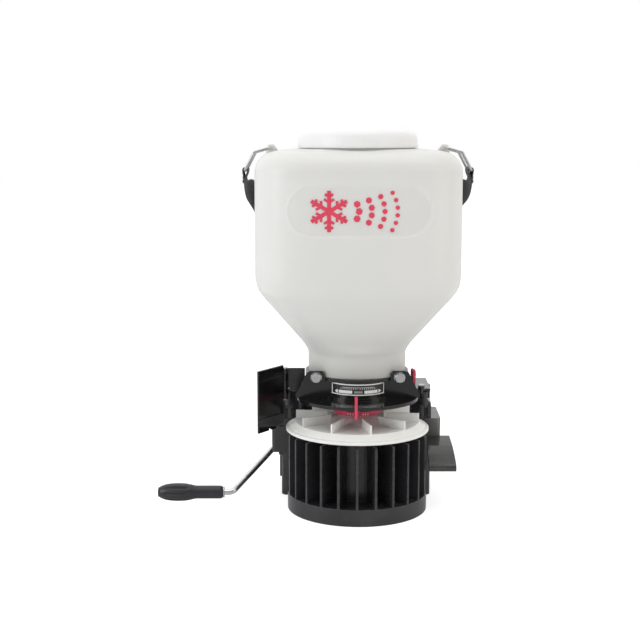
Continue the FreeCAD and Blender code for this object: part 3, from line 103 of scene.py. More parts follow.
def smooth_by_angle(ob, angle=32.0):
    """Smooth faces, with edges sharper than the angle kept sharp; vertices never move."""
    bm = bmesh.new()
    bm.from_mesh(ob.data)
    for face in bm.faces:
        face.smooth = True
    limit = math.radians(angle)
    for edge in bm.edges:
        edge.smooth = len(edge.link_faces) == 2 and edge.calc_face_angle(0.0) < limit
    bm.to_mesh(ob.data)
    bm.free()


def bridge_faces(first, second, count):
    """Quads joining two rings of count vertices, given the index each ring starts at."""
    faces = []
    for i in range(count):
        j = (i + 1) % count
        faces.append((first + i, first + j, second + j, second + i))
    return faces


def tube_faces(rings, count, base=0):
    """Faces of a capped tube made of rings of count vertices."""
    faces = []
    for i in range(rings - 1):
        faces += bridge_faces(base + i * count, base + (i + 1) * count, count)
    last = base + (rings - 1) * count
    faces.append(tuple(range(base + count - 1, base - 1, -1)))
    faces.append(tuple(range(last, last + count)))
    return faces


def prism_faces(count, base=0):
    """Faces of a prism: one outline of count vertices followed by its copy."""
    faces = [tuple(range(base, base + count)),
             tuple(range(base + 2 * count - 1, base + count - 1, -1))]
    return faces + bridge_faces(base, base + count, count)


def lathe(name, profile, segments, centre, radial, axis="Z"):
    """Turn a closed (radius, along) profile round Z or X; radial(r, along, angle) shapes it."""
    verts, faces = [], []
    count = len(profile)
    for i in range(segments):
        angle = 2 * math.pi * i / segments
        for radius, along in profile:
            shaped = radial(radius, along, angle)
            p, q = shaped * math.cos(angle), shaped * math.sin(angle)
            offset = (p, q, along) if axis == "Z" else (along, p, q)
            verts.append(Vector([c + o for c, o in zip(centre, offset)]) * MM)
    for i in range(segments):
        j = (i + 1) % segments
        for k in range(count):
            m = (k + 1) % count
            faces.append((i * count + k, j * count + k, j * count + m, i * count + m))
    ob = new_mesh(name, verts, faces)
    fix_normals(ob)
    return ob


# --------------------------------------------------------------------------- curve helpers
def catmull(points, steps):
    """Catmull-Rom path through the points (lists of floats of any length)."""
    path = []
    last = len(points) - 1
    for i in range(last):
        near = (points[max(i - 1, 0)], points[i], points[i + 1], points[min(i + 2, last)])
        for step in range(steps):
            t = step / steps
            t2, t3 = t * t, t * t * t
            path.append([0.5 * ((2 * b) + (-a + c) * t + (2 * a - 5 * b + 4 * c - d) * t2
                                + (-a + 3 * b - 3 * c + d) * t3)
                         for a, b, c, d in zip(*near)])
    path.append(list(points[-1]))
    return path


def pchip(xs, ys):
    """A monotone cubic through (xs, ys), so the curve never overshoots its table."""
    count = len(xs)
    gaps = [xs[i + 1] - xs[i] for i in range(count - 1)]
    slopes = [(ys[i + 1] - ys[i]) / gaps[i] for i in range(count - 1)]
    tangents = [0.0] * count
    tangents[0], tangents[-1] = slopes[0], slopes[-1]
    for i in range(1, count - 1):
        if slopes[i - 1] * slopes[i] > 0:
            w1 = 2 * gaps[i] + gaps[i - 1]
            w2 = gaps[i] + 2 * gaps[i - 1]
            tangents[i] = (w1 + w2) / (w1 / slopes[i - 1] + w2 / slopes[i])

    def value_at(x):
        if x <= xs[0]:
            return ys[0]
        if x >= xs[-1]:
            return ys[-1]
        i = next(k for k in range(count - 1) if xs[k] <= x <= xs[k + 1])
        t = (x - xs[i]) / gaps[i]
        t2, t3 = t * t, t * t * t
        return ((2 * t3 - 3 * t2 + 1) * ys[i] + (t3 - 2 * t2 + t) * gaps[i] * tangents[i]
                + (-2 * t3 + 3 * t2) * ys[i + 1] + (t3 - t2) * gaps[i] * tangents[i + 1])
    return value_at


def smoothstep(low, high, x):
    t = max(0.0, min(1.0, (x - low) / (high - low)))
    return t * t * (3 - 2 * t)


# --------------------------------------------------------------------------- shader graphs
class Graph:
    """Writes shader nodes; an input takes either a value or another node's output."""

    def __init__(self, tree):
        self.tree = tree
        tree.nodes.clear()

    def feed(self, node, inputs):
        for key, value in inputs.items():
            socket = node.inputs[key]
            if isinstance(value, bpy.types.NodeSocket):
                self.tree.links.new(value, socket)
            elif socket.type == "RGBA" and len(value) == 3:
                socket.default_value = (*value, 1.0)
            else:
                socket.default_value = value

    def node(self, kind, inputs=None, **properties):
        node = self.tree.nodes.new("ShaderNode" + kind)
        for key, value in properties.items():
            setattr(node, key, value)
        self.feed(node, inputs or {})
        return node

    def math(self, operation, *values, clamp=False):
        inputs = dict(enumerate(values))
        return self.node("Math", inputs, operation=operation, use_clamp=clamp).outputs[0]

    def separate(self, vector):
        return self.node("SeparateXYZ", {0: vector}).outputs


class Material(Graph):
    """A material with one Principled shader, textured in object coordinates."""

    def __init__(self, name):
        self.material = bpy.data.materials.new(name)
        self.material.use_nodes = True
        super().__init__(self.material.node_tree)
        output = self.node("OutputMaterial")
        self.shader = self.node("BsdfPrincipled")
        self.feed(output, {0: self.shader.outputs[0]})
        self.coords = self.node("TexCoord").outputs["Object"]

    def set(self, **inputs):
        """Feed the shader; an underscore stands for a space in an input's name."""
        self.feed(self.shader, {key.replace("_", " "): v for key, v in inputs.items()})

    def noise(self, scale, detail=3.0, roughness=0.55, distortion=0.0, coords=None):
        inputs = {"Scale": scale, "Detail": detail, "Roughness": roughness,
                  "Distortion": distortion, "Vector": coords or self.coords}
        return self.node("TexNoise", inputs).outputs["Fac"]

    def ramp(self, source, stops):
        """Colour ramp through (position, colour) stops."""
        ramp = self.node("ValToRGB", {0: source})
        elements = ramp.color_ramp.elements
        while len(elements) < len(stops):
            elements.new(0.5)
        for element, (position, colour) in zip(elements, stops):
            element.position = position
            element.color = (*colour, 1.0)
        return ramp.outputs[0]

    def tones(self, source, first, second, low=0.3, high=0.7):
        return self.ramp(source, [(low, first), (high, second)])

    def mix(self, factor, first, second, blend="MIX"):
        # sockets 6 and 7 are the colour pair
        inputs = {0: factor, 6: first, 7: second}
        return self.node("Mix", inputs, data_type="RGBA", blend_type=blend).outputs[2]

    def map_to(self, source, low, high):
        inputs = {"To Min": low, "To Max": high, "Value": source}
        return self.node("MapRange", inputs).outputs[0]

    def bump(self, height, strength, distance, normal=None):
        inputs = {"Strength": strength, "Distance": distance, "Height": height}
        if normal is not None:
            inputs["Normal"] = normal
        return self.node("Bump", inputs).outputs[0]

    def bevel(self, radius):
        return self.node("Bevel", {"Radius": radius}, samples=4).outputs[0]

    def edge_wear_and_glint(self, radius, gain=6.0):
        """Rises towards 1 near edges, 0 on flat faces."""
        normal = self.node("NewGeometry").outputs["Normal"]
        dot = self.node("VectorMath", {0: self.bevel(radius), 1: normal},
                        operation="DOT_PRODUCT").outputs["Value"]
        return self.math("MULTIPLY", self.math("SUBTRACT", 1.0, dot), gain, clamp=True)

    def within(self, value, low, high):
        """1 where low < value < high."""
        return self.math("MULTIPLY", self.math("GREATER_THAN", value, low),
                         self.math("LESS_THAN", value, high))

    def angle_from_front(self, x, y):
        """Angle round the Z axis, 0 at -Y and growing towards +X."""
        return self.math("ARCTAN2", x, self.math("MULTIPLY", y, -1.0))


def toned(colour, gain, lift=0.0):
    return tuple(min(1, c * gain + lift) for c in colour)


# --------------------------------------------------------------------------- materials
def painted_reflection_patch(m, colour):
    """Painted reflection: paler towards high x and high z, in front of one depth only."""
    x_start, x_span = 0.088, 0.0206
    z_start, z_span = 0.062, 0.040
    y_limit = 0.0462
    strength = 0.75
    x, y, z = m.separate(m.coords)
    across = m.math("DIVIDE", m.math("SUBTRACT", x, x_start), x_span, clamp=True)
    up = m.math("DIVIDE", m.math("SUBTRACT", z, z_start), z_span, clamp=True)
    front = m.math("LESS_THAN", y, y_limit)
    amount = m.math("MULTIPLY", m.math("MULTIPLY", across, up),
                    m.math("MULTIPLY", front, strength))
    return m.mix(amount, colour, (0.27, 0.27, 0.26))


def plastic_black(name, base, roughness, edge, grain, painted_reflection=False):
    """Dark moulded plastic: cloudy tone, pale edges that are partly wear and partly a painted
    glint, fine grain.
    """
    m = Material(name)
    cloud = m.noise(scale=22.0)
    fine = m.noise(scale=900.0, detail=2.0)
    patches = m.noise(scale=160.0, detail=4.0)
    colour = m.tones(cloud, toned(base, 0.82), toned(base, 1.25), low=0.32, high=0.68)
    # pale edges in patches: partly wear, partly a painted glint along the edges
    wear_and_glint = m.math("MULTIPLY", m.edge_wear_and_glint(edge * 1.6),
                  m.tones(patches, (0, 0, 0), (1, 1, 1), low=0.42, high=0.66))
    colour = m.mix(wear_and_glint, colour, toned(base, 3.2, lift=0.02))
    if painted_reflection:
        # painted reflection on the front of the housing's right-hand block
        colour = painted_reflection_patch(m, colour)
    grained = m.bump(fine, strength=grain, distance=0.00012, normal=m.bevel(edge))
    m.set(Base_Color=colour, Roughness=m.map_to(patches, *roughness), IOR=1.5,
          Normal=m.bump(cloud, strength=0.12, distance=0.0006, normal=grained))
    return m.material


def painted_height_shade(m, colour, shade):
    """Painted shade: darken the colour by (part of the height, brightness) stops."""
    bottom, height = 0.168, 0.278
    z = m.separate(m.coords)[2]
    along = m.math("DIVIDE", m.math("SUBTRACT", z, bottom), height, clamp=True)
    # the darker it gets, the less blue it keeps
    tone = m.ramp(along, [(place, (v, v, v * (0.985 + 0.015 * v))) for place, v in shade])
    return m.mix(1.0, colour, tone, blend="MULTIPLY")


def plastic_white(name, base, tint, roughness, scatter, scatter_scale, edge=0.0, shade=None):
    """Milky plastic that lets some light in."""
    m = Material(name)
    cloud = m.noise(scale=9.0, detail=4.0, roughness=0.5)
    fine = m.noise(scale=700.0, detail=2.0)
    swirl = m.noise(scale=38.0, roughness=0.6, distortion=0.6)
    colour = m.tones(cloud, base, tint, low=0.30, high=0.72)
    # painted shade by height, where a table is given
    if shade:
        colour = painted_height_shade(m, colour, shade)
    rounded = m.bevel(edge) if edge else None
    grained = m.bump(fine, strength=0.05, distance=0.0001, normal=rounded)
    m.set(Base_Color=colour, IOR=1.5,
          Roughness=m.map_to(swirl, low=roughness - 0.05, high=roughness + 0.06),
          Normal=m.bump(swirl, strength=0.05, distance=0.0012, normal=grained),
          Subsurface_Weight=scatter, Subsurface_Radius=(1.0, 0.95, 0.85),
          Subsurface_Scale=scatter_scale)
    return m.material


def metal(name, base, roughness, stretch=(1, 1, 1)):
    """Metal with fine streaks; stretch scales the streak texture along each axis."""
    m = Material(name)
    stretched = m.node("Mapping", {"Scale": stretch, 0: m.coords}).outputs[0]
    streak = m.noise(scale=900.0, roughness=0.6, coords=stretched)
    cloud = m.noise(scale=60.0, detail=4.0, roughness=0.6)
    m.set(Base_Color=m.tones(cloud, toned(base, 0.86), toned(base, 1.10)), Metallic=1.0,
          Roughness=m.map_to(streak, low=roughness * 0.75, high=roughness * 1.35),
          Normal=m.bump(streak, strength=0.10, distance=0.00008, normal=m.bevel(0.0003)))
    return m.material


def dial_ticks(m):
    """Mask of short ticks round the dial's band, in two runs either side of the front."""
    pitch = math.radians(6.0)
    half_tick = 0.12                       # as a part of the pitch
    shift = 100.5                          # keeps the fraction positive and centres the ticks
    nearest, farthest = math.radians(9.0), math.radians(27.0)
    x, y, z = m.separate(m.coords)
    angle = m.angle_from_front(x, y)
    radius = m.math("SQRT", m.math("ADD", m.math("MULTIPLY", x, x), m.math("MULTIPLY", y, y)))
    turn = m.math("FRACT", m.math("ADD", m.math("DIVIDE", angle, pitch), shift))
    off_centre = m.math("ABSOLUTE", m.math("SUBTRACT", turn, 0.5))
    tick = m.math("LESS_THAN", off_centre, half_tick)
    in_height = m.within(z, low=0.1230, high=0.1250)
    in_radius = m.within(radius, low=0.0292, high=0.0305)
    in_run = m.math("MULTIPLY",
                    m.math("LESS_THAN", m.math("ABSOLUTE", angle), farthest),
                    m.math("GREATER_THAN", m.math("ABSOLUTE", angle), nearest))
    return m.math("MULTIPLY", m.math("MULTIPLY", tick, in_height),
                  m.math("MULTIPLY", in_radius, in_run))


def plastic_red(name, ticks=False):
    """Red moulded plastic: either printed with the dial's ticks or slightly translucent."""
    m = Material(name)
    cloud = m.noise(scale=40.0)
    fine = m.noise(scale=800.0, detail=2.0)
    colour = m.tones(cloud, (0.56, 0.040, 0.085), (0.68, 0.055, 0.115))
    if ticks:
        colour = m.mix(dial_ticks(m), colour, (0.85, 0.83, 0.82))
    else:
        m.set(Subsurface_Weight=0.12, Subsurface_Radius=(1.0, 0.2, 0.2),
              Subsurface_Scale=0.002)
    m.set(Base_Color=colour, Roughness=m.map_to(cloud, low=0.30, high=0.42),
          Normal=m.bump(fine, strength=0.08, distance=0.0001, normal=m.bevel(0.0004)))
    return m.material


def matt_material(name, noise, dark, light, roughness, strength):
    """One noise drives both the tone and a shallow bump; noise holds its settings."""
    m = Material(name)
    grain = m.noise(**noise)
    m.set(Base_Color=m.tones(grain, dark, light), Roughness=roughness,
          Normal=m.bump(grain, strength=strength, distance=0.0001))
    return m.material


def label_marks(m):
    """Mask of the printed plate; u runs round the label from the front, v up from its middle."""
    label_radius = 0.0385
    low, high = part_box("direction_label")
    half_u = math.radians(56.5) * label_radius
    half_v = (high.z - low.z) / 2
    no_limit = -1
    tick_pitch, tick_part = 0.0027, 0.38
    head_start, head_tip = 0.0270, 0.0318
    head_drop, head_slope = 0.0027, 0.55    # the heads sit below the middle
    fine_ink, block_ink = 0.55, 0.35        # how pale the small marks and the block are

    def both(a, b):
        return m.math("MULTIPLY", a, b)

    def either(a, b):
        return m.math("MAXIMUM", a, b)

    def patch(a, a_range, b, b_range):
        return both(m.within(a, *a_range), m.within(b, *b_range))

    x, y, z = m.separate(m.coords)
    u = m.math("MULTIPLY", m.angle_from_front(x, y), label_radius)
    v = m.math("SUBTRACT", z, (low.z + high.z) / 2)
    abs_u = m.math("ABSOLUTE", u)
    abs_v = m.math("ABSOLUTE", v)
    frame_ends = patch(abs_u, (half_u - 0.0020, half_u - 0.0003),
                       abs_v, (no_limit, half_v - 0.0003))
    frame_long = patch(abs_v, (half_v - 0.0015, half_v - 0.0002),
                       abs_u, (no_limit, half_u - 0.0003))
    bars = patch(abs_u, (0.0075, 0.0255), v, (-0.0046, -0.0008))
    block = patch(abs_u, (no_limit, 0.0052), v, (-0.0040, -0.0014))
    top_line = patch(abs_u, (no_limit, 0.0200), v, (0.0026, 0.0033))
    # short scale ticks above the bars
    turn = m.math("FRACT", m.math("MULTIPLY", m.math("ADD", u, 1.0), 1 / tick_pitch))
    comb = m.math("LESS_THAN", turn, tick_part)
    ticks = both(patch(abs_u, (0.0005, 0.0235), v, (0.0004, 0.0024)), comb)
    # an arrow head at each end, narrowing outwards
    head_half = m.math("MULTIPLY", m.math("SUBTRACT", head_tip, abs_u), head_slope)
    head_off = m.math("ABSOLUTE", m.math("ADD", v, head_drop))
    heads = both(m.within(abs_u, head_start, head_tip),
                 m.math("LESS_THAN", head_off, head_half))
    strong = either(either(frame_ends, frame_long), either(bars, heads))
    faint = either(both(either(top_line, ticks), fine_ink), both(block, block_ink))
    return either(strong, faint)


def label_print():
    m = Material("label_print")
    marks = label_marks(m)
    grain = m.noise(scale=300.0)
    pale = m.tones(grain, (0.84, 0.84, 0.83), (0.93, 0.93, 0.92))
    dark = m.tones(grain, (0.012, 0.012, 0.013), (0.022, 0.022, 0.024))
    m.set(Base_Color=m.mix(marks, dark, pale),
          Roughness=m.map_to(grain, low=0.26, high=0.38),
          Normal=m.bump(grain, strength=0.04, distance=0.0001))
    return m.material


def webbing_weave():
    """Woven webbing, drawn from the mesh's own UVs: u across the band, v along it."""
    across_pitch, along_pitch = 1.9, 1.25    # rib spacing, mm
    sway = 0.28                              # how far the ribs across bend, mm
    m = Material("webbing_weave")
    u, v, _ = m.separate(m.node("UVMap").outputs[0])
    across = m.math("MULTIPLY", u, UV_UNIT)
    along = m.math("MULTIPLY", v, UV_UNIT)
    warp = m.math("SINE", m.math("MULTIPLY", across, 2 * math.pi / across_pitch))
    swayed = m.math("ADD", along, m.math("MULTIPLY", warp, sway))
    weft = m.math("SINE", m.math("MULTIPLY", swayed, 2 * math.pi / along_pitch))
    # the height is 0.6 warp and 0.4 weft
    height = m.math("ADD", m.math("MULTIPLY", m.math("ABSOLUTE", warp), 0.6),
                    m.math("MULTIPLY", weft, 0.4))
    fuzz = m.noise(scale=1400.0, detail=2.0)
    base = m.tones(m.noise(scale=45.0), (0.010, 0.010, 0.011), (0.020, 0.020, 0.022))
    # high threads are paler; 0.35 scales the height to a mixing factor
    raised = m.math("MULTIPLY", m.math("ADD", height, 1.0), 0.35, clamp=True)
    woven = m.bump(height, strength=0.55, distance=0.00035)
    m.set(Base_Color=m.mix(raised, base, (0.045, 0.045, 0.048)),
          Roughness=m.map_to(fuzz, low=0.62, high=0.82),
          Normal=m.bump(fuzz, strength=0.2, distance=0.0001, normal=woven),
          Sheen_Weight=0.25, Sheen_Roughness=0.4)
    return m.material


def decal_ink():
    m = Material("decal_ink")
    grain = m.noise(scale=300.0)
    m.set(Base_Color=m.tones(grain, (0.66, 0.045, 0.095), (0.74, 0.060, 0.115)),
          Roughness=m.map_to(grain, low=0.36, high=0.46),
          Normal=m.bump(grain, strength=0.05, distance=0.0001))
    return m.material


# painted shade up the hopper: dark at the foot, a little darker again at the top
HOPPER_PAINTED_SHADE = [(0.0, 0.60), (0.055, 0.74), (0.14, 0.86), (0.30, 0.93), (0.55, 0.955),
                (0.86, 0.96), (0.96, 0.90), (1.0, 0.88)]
MATERIALS = {
    "black": plastic_black("moulded_black", base=(0.026, 0.026, 0.0285),
                           roughness=(0.22, 0.32), edge=0.0007, grain=0.05),
    "rest": plastic_black("rest_black", base=(0.052, 0.052, 0.051),
                          roughness=(0.12, 0.19), edge=0.0012, grain=0.03),
    "housing": plastic_black("housing_black", base=(0.028, 0.028, 0.0310),
                             roughness=(0.20, 0.30), edge=0.0010, grain=0.03, painted_reflection=True),
    "black_gloss": plastic_black("glossy_black", base=(0.0065, 0.0065, 0.0072),
                                 roughness=(0.13, 0.20), edge=0.0006, grain=0.04),
    "grip": plastic_black("grip_charcoal", base=(0.022, 0.022, 0.026),
                          roughness=(0.32, 0.44), edge=0.0004, grain=0.2),
    "hopper": plastic_white("hopper_milk", base=(0.80, 0.80, 0.765), tint=(0.84, 0.835, 0.80),
                            roughness=0.36, scatter=0.35, scatter_scale=0.012,
                            shade=HOPPER_PAINTED_SHADE),
    "lid": plastic_white("lid_milk", base=(0.90, 0.90, 0.89), tint=(0.93, 0.93, 0.92),
                         roughness=0.34, scatter=0.35, scatter_scale=0.010),
    "white": plastic_white("disc_white", base=(0.83, 0.83, 0.80), tint=(0.87, 0.87, 0.845),
                           roughness=0.32, scatter=0.25, scatter_scale=0.004, edge=0.0005),
    "gear": plastic_white("gear_nylon", base=(0.70, 0.67, 0.58), tint=(0.76, 0.73, 0.64),
                          roughness=0.40, scatter=0.15, scatter_scale=0.003),
    "zinc": metal("zinc_plate", base=(0.50, 0.51, 0.51), roughness=0.26),
    "rod": metal("drawn_rod", base=(0.70, 0.71, 0.71), roughness=0.20, stretch=(0.15, 1, 1)),
    "bronze": metal("sinter_bronze", base=(0.48, 0.30, 0.14), roughness=0.38),
    "red": plastic_red("moulded_red"),
    "seal": matt_material("seal_rubber", noise={"scale": 600.0}, dark=(0.02, 0.02, 0.02),
                          light=(0.045, 0.045, 0.045), roughness=0.7, strength=0.2),
    "dial": plastic_red("dial_red", ticks=True),
    "label": label_print(),
    "webbing": webbing_weave(),
    "thread": matt_material("stitch_thread", noise={"scale": 2400.0, "detail": 2.0},
                            dark=(0.05, 0.05, 0.055), light=(0.10, 0.10, 0.11),
                            roughness=0.6, strength=0.3),
    "decal": decal_ink(),
}

# CAD pieces by material; every piece not listed is zinc
CAD_PIECES = {
    "housing": ("base_housing", "bottom_cover"),
    "rest": ("hand_rest",),
    "black": ("belly_plate", "collar_rear", "deflector_bracket", "side_stanchions",
              "support_posts", "gate_stop_knob", "crank_outer_bush", "strap_adjuster"),
    "black_gloss": ("collar_front", "outlet_plate", "side_deflector"),
    "hopper": ("hopper",),
    "lid": ("lid",),
    "seal": ("lid_seal",),
    "white": ("throwing_disc", "agitator"),
    "dial": ("direction_dial",),
    "red": ("dial_retainer", "feed_gate"),
    "gear": ("spur_gear", "disc_pinion", "crank_bevel_gear", "jackshaft_bevel_pinion"),
    "grip": ("crank_grip", "grip_end_cap"),
    "rod": ("crank_rod",),
    "bronze": ("disc_foot_bush", "jackshaft_foot_bush", "disc_shaft_bush",
               "jackshaft_top_bush", "crank_inner_bush"),
    "label": ("direction_label",),
    "webbing": ("strap_webbing", "strap_end_left", "strap_end_right"),
}


def dress_cad_pieces():
    finish = {piece: key for key, pieces in CAD_PIECES.items() for piece in pieces}
    for name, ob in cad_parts.items():
        ob.data.materials.clear()
        ob.data.materials.append(MATERIALS[finish.get(name, "zinc")])
        smooth_by_angle(ob)


dress_cad_pieces()

# --------------------------------------------------------------------------- hopper
THROAT = 61.0             # radius of the round foot
FUNNEL_HALF_WIDTH = 120.3
BODY_HALF_WIDTH = 126.2
BODY_HALF_DEPTH = 100.0
WALL = 3.0

# outer sections, bottom to top: half width, half depth, squareness, height
HOPPER_ROWS = [(THROAT, THROAT, 2.0, 168.3), (THROAT, THROAT, 2.0, 180.0),
               (THROAT, THROAT, 2.0, 191.0), (61.7, 61.7, 2.0, 195.5), (64.2, 64.0, 2.02, 200.5)]
HOPPER_ROWS += [(THROAT + f * (FUNNEL_HALF_WIDTH - THROAT), THROAT + f * 35, 2.0 + 1.6 * f,
                 198 + f * 73) for f in (0.15, 0.35, 0.55, 0.75, 0.92)]
HOPPER_ROWS += [
    (FUNNEL_HALF_WIDTH + 1.8, 97.4, 3.75, 275.0),
    (BODY_HALF_WIDTH - 1.6, 98.7, 3.85, 281.0),
    (BODY_HALF_WIDTH - 0.3, 99.8, 3.95, 289.0),
    (BODY_HALF_WIDTH, BODY_HALF_DEPTH, 4.0, 301.0),
    (BODY_HALF_WIDTH, BODY_HALF_DEPTH, 4.0, 340.0),
    (BODY_HALF_WIDTH, BODY_HALF_DEPTH, 4.0, 390.0),
    (BODY_HALF_WIDTH, BODY_HALF_DEPTH, 4.0, 411.0),
    (BODY_HALF_WIDTH - 0.4, 99.6, 4.0, 421.0),
    (BODY_HALF_WIDTH - 2.6, 97.4, 3.9, 429.0),
    (BODY_HALF_WIDTH - 7.5, 93.0, 3.7, 436.0),
    (BODY_HALF_WIDTH - 15.0, 86.0, 3.4, 441.0),
    (98.0, 78.5, 2.8, 443.9), (82.0, 74.0, 2.2, 445.6)]

# fill neck, from the shoulder up the outside and down the bore: radius, height
NECK_PROFILE = [
    (78.0, 445.9), (72.4, 446.1), (70.6, 446.6), (70.0, 448.0), (70.0, 451.0), (71.6, 452.0),
    (71.6, 453.4), (70.0, 454.4), (70.0, 459.6), (69.2, 460.4), (66.8, 460.4), (66.0, 459.6),
    (66.0, 446.0), (66.6, 443.4), (70.0, 442.9), (76.0, 442.8)]

# spout, down the inside, round the lip and up the outside: radius, centre y, height
SPOUT_RINGS = [
    (48.0, 30.0, 171.0), (41.0, 29.5, 168.8), (26.8, 1.0, 150.0), (26.6, 0.0, 146.2),
    (29.2, 0.0, 146.2), (29.4, 1.0, 150.0), (43.5, 30.5, 167.9), (50.0, 30.2, 168.3),
    (60.2, 29.1, 168.3)]

# recessed front panel with half-round ends
PANEL_Z = 375.0
PANEL_HALF_WIDTH = 84.3
PANEL_HALF_HEIGHT = 30.0

# the table is read along its own length, so the shoulder's nearly flat top keeps its shape
ROW_LENGTHS = [0.0]
for below, above in zip(HOPPER_ROWS, HOPPER_ROWS[1:]):
    ROW_LENGTHS.append(ROW_LENGTHS[-1] + math.hypot(above[0] - below[0], above[3] - below[3]))
half_width_at, half_depth_at, squareness_at, height_at = (
    pchip(ROW_LENGTHS, column) for column in zip(*HOPPER_ROWS))


def panel_depth(x, z):
    """How far the front is sunk at (x, z), with a raised bead round the panel's edge."""
    beyond = max(abs(x) - (PANEL_HALF_WIDTH - PANEL_HALF_HEIGHT), 0.0)
    outside = math.hypot(beyond, z - PANEL_Z) - PANEL_HALF_HEIGHT
    bead = math.exp(-((outside - 0.6) / 1.3) ** 2)
    return 0.75 * (1.0 - smoothstep(-3.2, 0.4, outside)) - 0.55 * bead


def squircle(half_width, half_depth, squareness, angle):
    c, s = math.cos(angle), math.sin(angle)
    radius = (abs(c / half_width) ** squareness
              + abs(s / half_depth) ** squareness) ** (-1.0 / squareness)
    return radius * c, radius * s


def front_y(x, z):
    """The y of the hopper's front surface at (x, z), recess included."""
    low, high = 0.0, ROW_LENGTHS[-1]
    for _ in range(40):
        middle = (low + high) / 2
        if height_at(middle) < z:
            low = middle
        else:
            high = middle
    n = squareness_at(low)
    inside = max(0.0, 1 - abs(x / half_width_at(low)) ** n)
    return HOPPER_Y - half_depth_at(low) * inside ** (1.0 / n) + panel_depth(x, z)


def skin_stations():
    """Places along the section table, closest together across the panel."""
    stations, place = [], 0.0
    while place < ROW_LENGTHS[-1]:
        z = height_at(place)
        stations.append(place)
        if 337 < z < 403:
            place += 1.0
        elif z < 300 or z > 405:
            place += 2.0
        else:
            place += 4.0
    return stations + [ROW_LENGTHS[-1]]


def build_hopper():
    # every half degree across the front, every two degrees elsewhere
    angles = [math.radians(k * 0.5) for k in range(720)
              if 208.0 <= k * 0.5 <= 332.0 or k % 4 == 0]
    count = len(angles)
    verts, faces = [], []

    def add_ring(points):
        """Add a ring and join it to the one before."""
        start = len(verts)
        verts.extend(Vector(p) * MM for p in points)
        if start:
            faces.extend(bridge_faces(start - count, start, count))

    def add_section(half_width, half_depth, squareness, z, sunk=False):
        points = []
        for angle in angles:
            x, y = squircle(half_width, half_depth, squareness, angle)
            if sunk and y < 0 and abs(x) < 96:
                y += panel_depth(x, z)
            points.append((x, HOPPER_Y + y, z))
        add_ring(points)

    def add_circle(radius, centre_y, z):
        add_ring([(radius * math.cos(a), centre_y + radius * math.sin(a), z) for a in angles])

    # the outer skin, upwards
    stations = skin_stations()
    for place in stations:
        z = height_at(place)
        add_section(half_width_at(place), half_depth_at(place), squareness_at(place), z,
                    sunk=330 < z < 410)
    for radius, z in NECK_PROFILE:
        add_circle(radius, HOPPER_Y, z)
    # the inner skin, from the shoulder down to the throat
    inner = stations[::3]
    if inner[-1] != stations[-1]:
        inner.append(stations[-1])
    for place in reversed(inner):
        half_width, half_depth = half_width_at(place) - WALL, half_depth_at(place) - WALL
        z = height_at(place)
        if z > 430:
            z -= WALL
        if z < 182:
            half_width = half_depth = 56.0
            z = max(z, 172.0)
        add_section(half_width, half_depth, squareness_at(place), z)
    for radius, centre_y, z in SPOUT_RINGS:
        add_circle(radius, centre_y, z)
    faces.extend(bridge_faces(len(verts) - count, 0, count))

    ob = new_mesh("hopper_shell", verts, faces)
    fix_normals(ob)
    smooth_by_angle(ob, 50)
    ob.data.materials.append(MATERIALS["hopper"])
    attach(ob, "root")
    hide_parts("hopper")


build_hopper()

# --------------------------------------------------------------------------- strap lugs
LUG_X, LUG_Z = 107.0, 447.0
LUG_HALF_THICK = 5.8
# offsets from the lug's place: outwards, up
LUG_OUTLINE = [(-9, -10), (-9, -3), (-3.5, 4.4), (3, 4.4), (5.8, 0), (5.8, -11)]


def rounded_block(name, outline, y0, y1, radius):
    """An (x, z) outline drawn out from y0 to y1, with rounded edges."""
    verts = [Vector((x, y, z)) * MM for y in (y0, y1) for x, z in outline]
    ob = new_mesh(name, verts, prism_faces(len(outline)))
    fix_normals(ob)
    bevel = ob.modifiers.new("round", "BEVEL")
    bevel.width = radius * MM
    bevel.segments = 3
    bevel.limit_method = "ANGLE"
    bevel.angle_limit = math.radians(28)
    depsgraph = bpy.context.evaluated_depsgraph_get()
    rounded = bpy.data.meshes.new_from_object(ob.evaluated_get(depsgraph))
    plain = ob.data
    ob.modifiers.clear()
    ob.data = rounded
    bpy.data.meshes.remove(plain)
    smooth_by_angle(ob, 40)
    return ob


for side, tag in SIDES:
    outline = [(side * (LUG_X + out), LUG_Z + up) for out, up in LUG_OUTLINE]
    lug = rounded_block("hopper_lug_" + tag, outline, HOPPER_Y - LUG_HALF_THICK,
                        HOPPER_Y + LUG_HALF_THICK, radius=1.2)
    lug.data.materials.append(MATERIALS["hopper"])
    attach(lug, "root")

# --------------------------------------------------------------------------- lid
LID_GROOVES = 72
# closed section, up the outside and back under the top: radius, height
LID_PROFILE = [
    (70.3, 447.3), (73.6, 447.3), (74.0, 447.6), (74.0, 449.6), (73.9, 452.0), (73.4, 456.0),
    (72.6, 460.0), (71.4, 463.0), (69.4, 465.6), (66.6, 467.4), (62.4, 468.7), (56.0, 469.8),
    (46.0, 470.8), (34.0, 471.5), (20.0, 471.9), (8.0, 472.0), (0.02, 472.0), (0.02, 469.2),
    (8.0, 469.1), (25.0, 468.8), (44.0, 467.8), (58.0, 466.4), (64.0, 465.2), (68.0, 463.4),
    (70.3, 460.6)]


def grooved_skirt(radius, z, angle):
    """Fine upright grooves in the lid's skirt."""
    if radius > 72.0 and z < 463:
        return radius - 0.35 * (0.5 + 0.5 * math.cos(LID_GROOVES * angle)) ** 3
    return radius


lid = lathe("lid_cap", LID_PROFILE, segments=4 * LID_GROOVES, centre=(0, HOPPER_Y, 0),
            radial=grooved_skirt)
smooth_by_angle(lid, 60)
lid.data.materials.append(MATERIALS["lid"])
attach(lid, "lid")
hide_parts("lid")

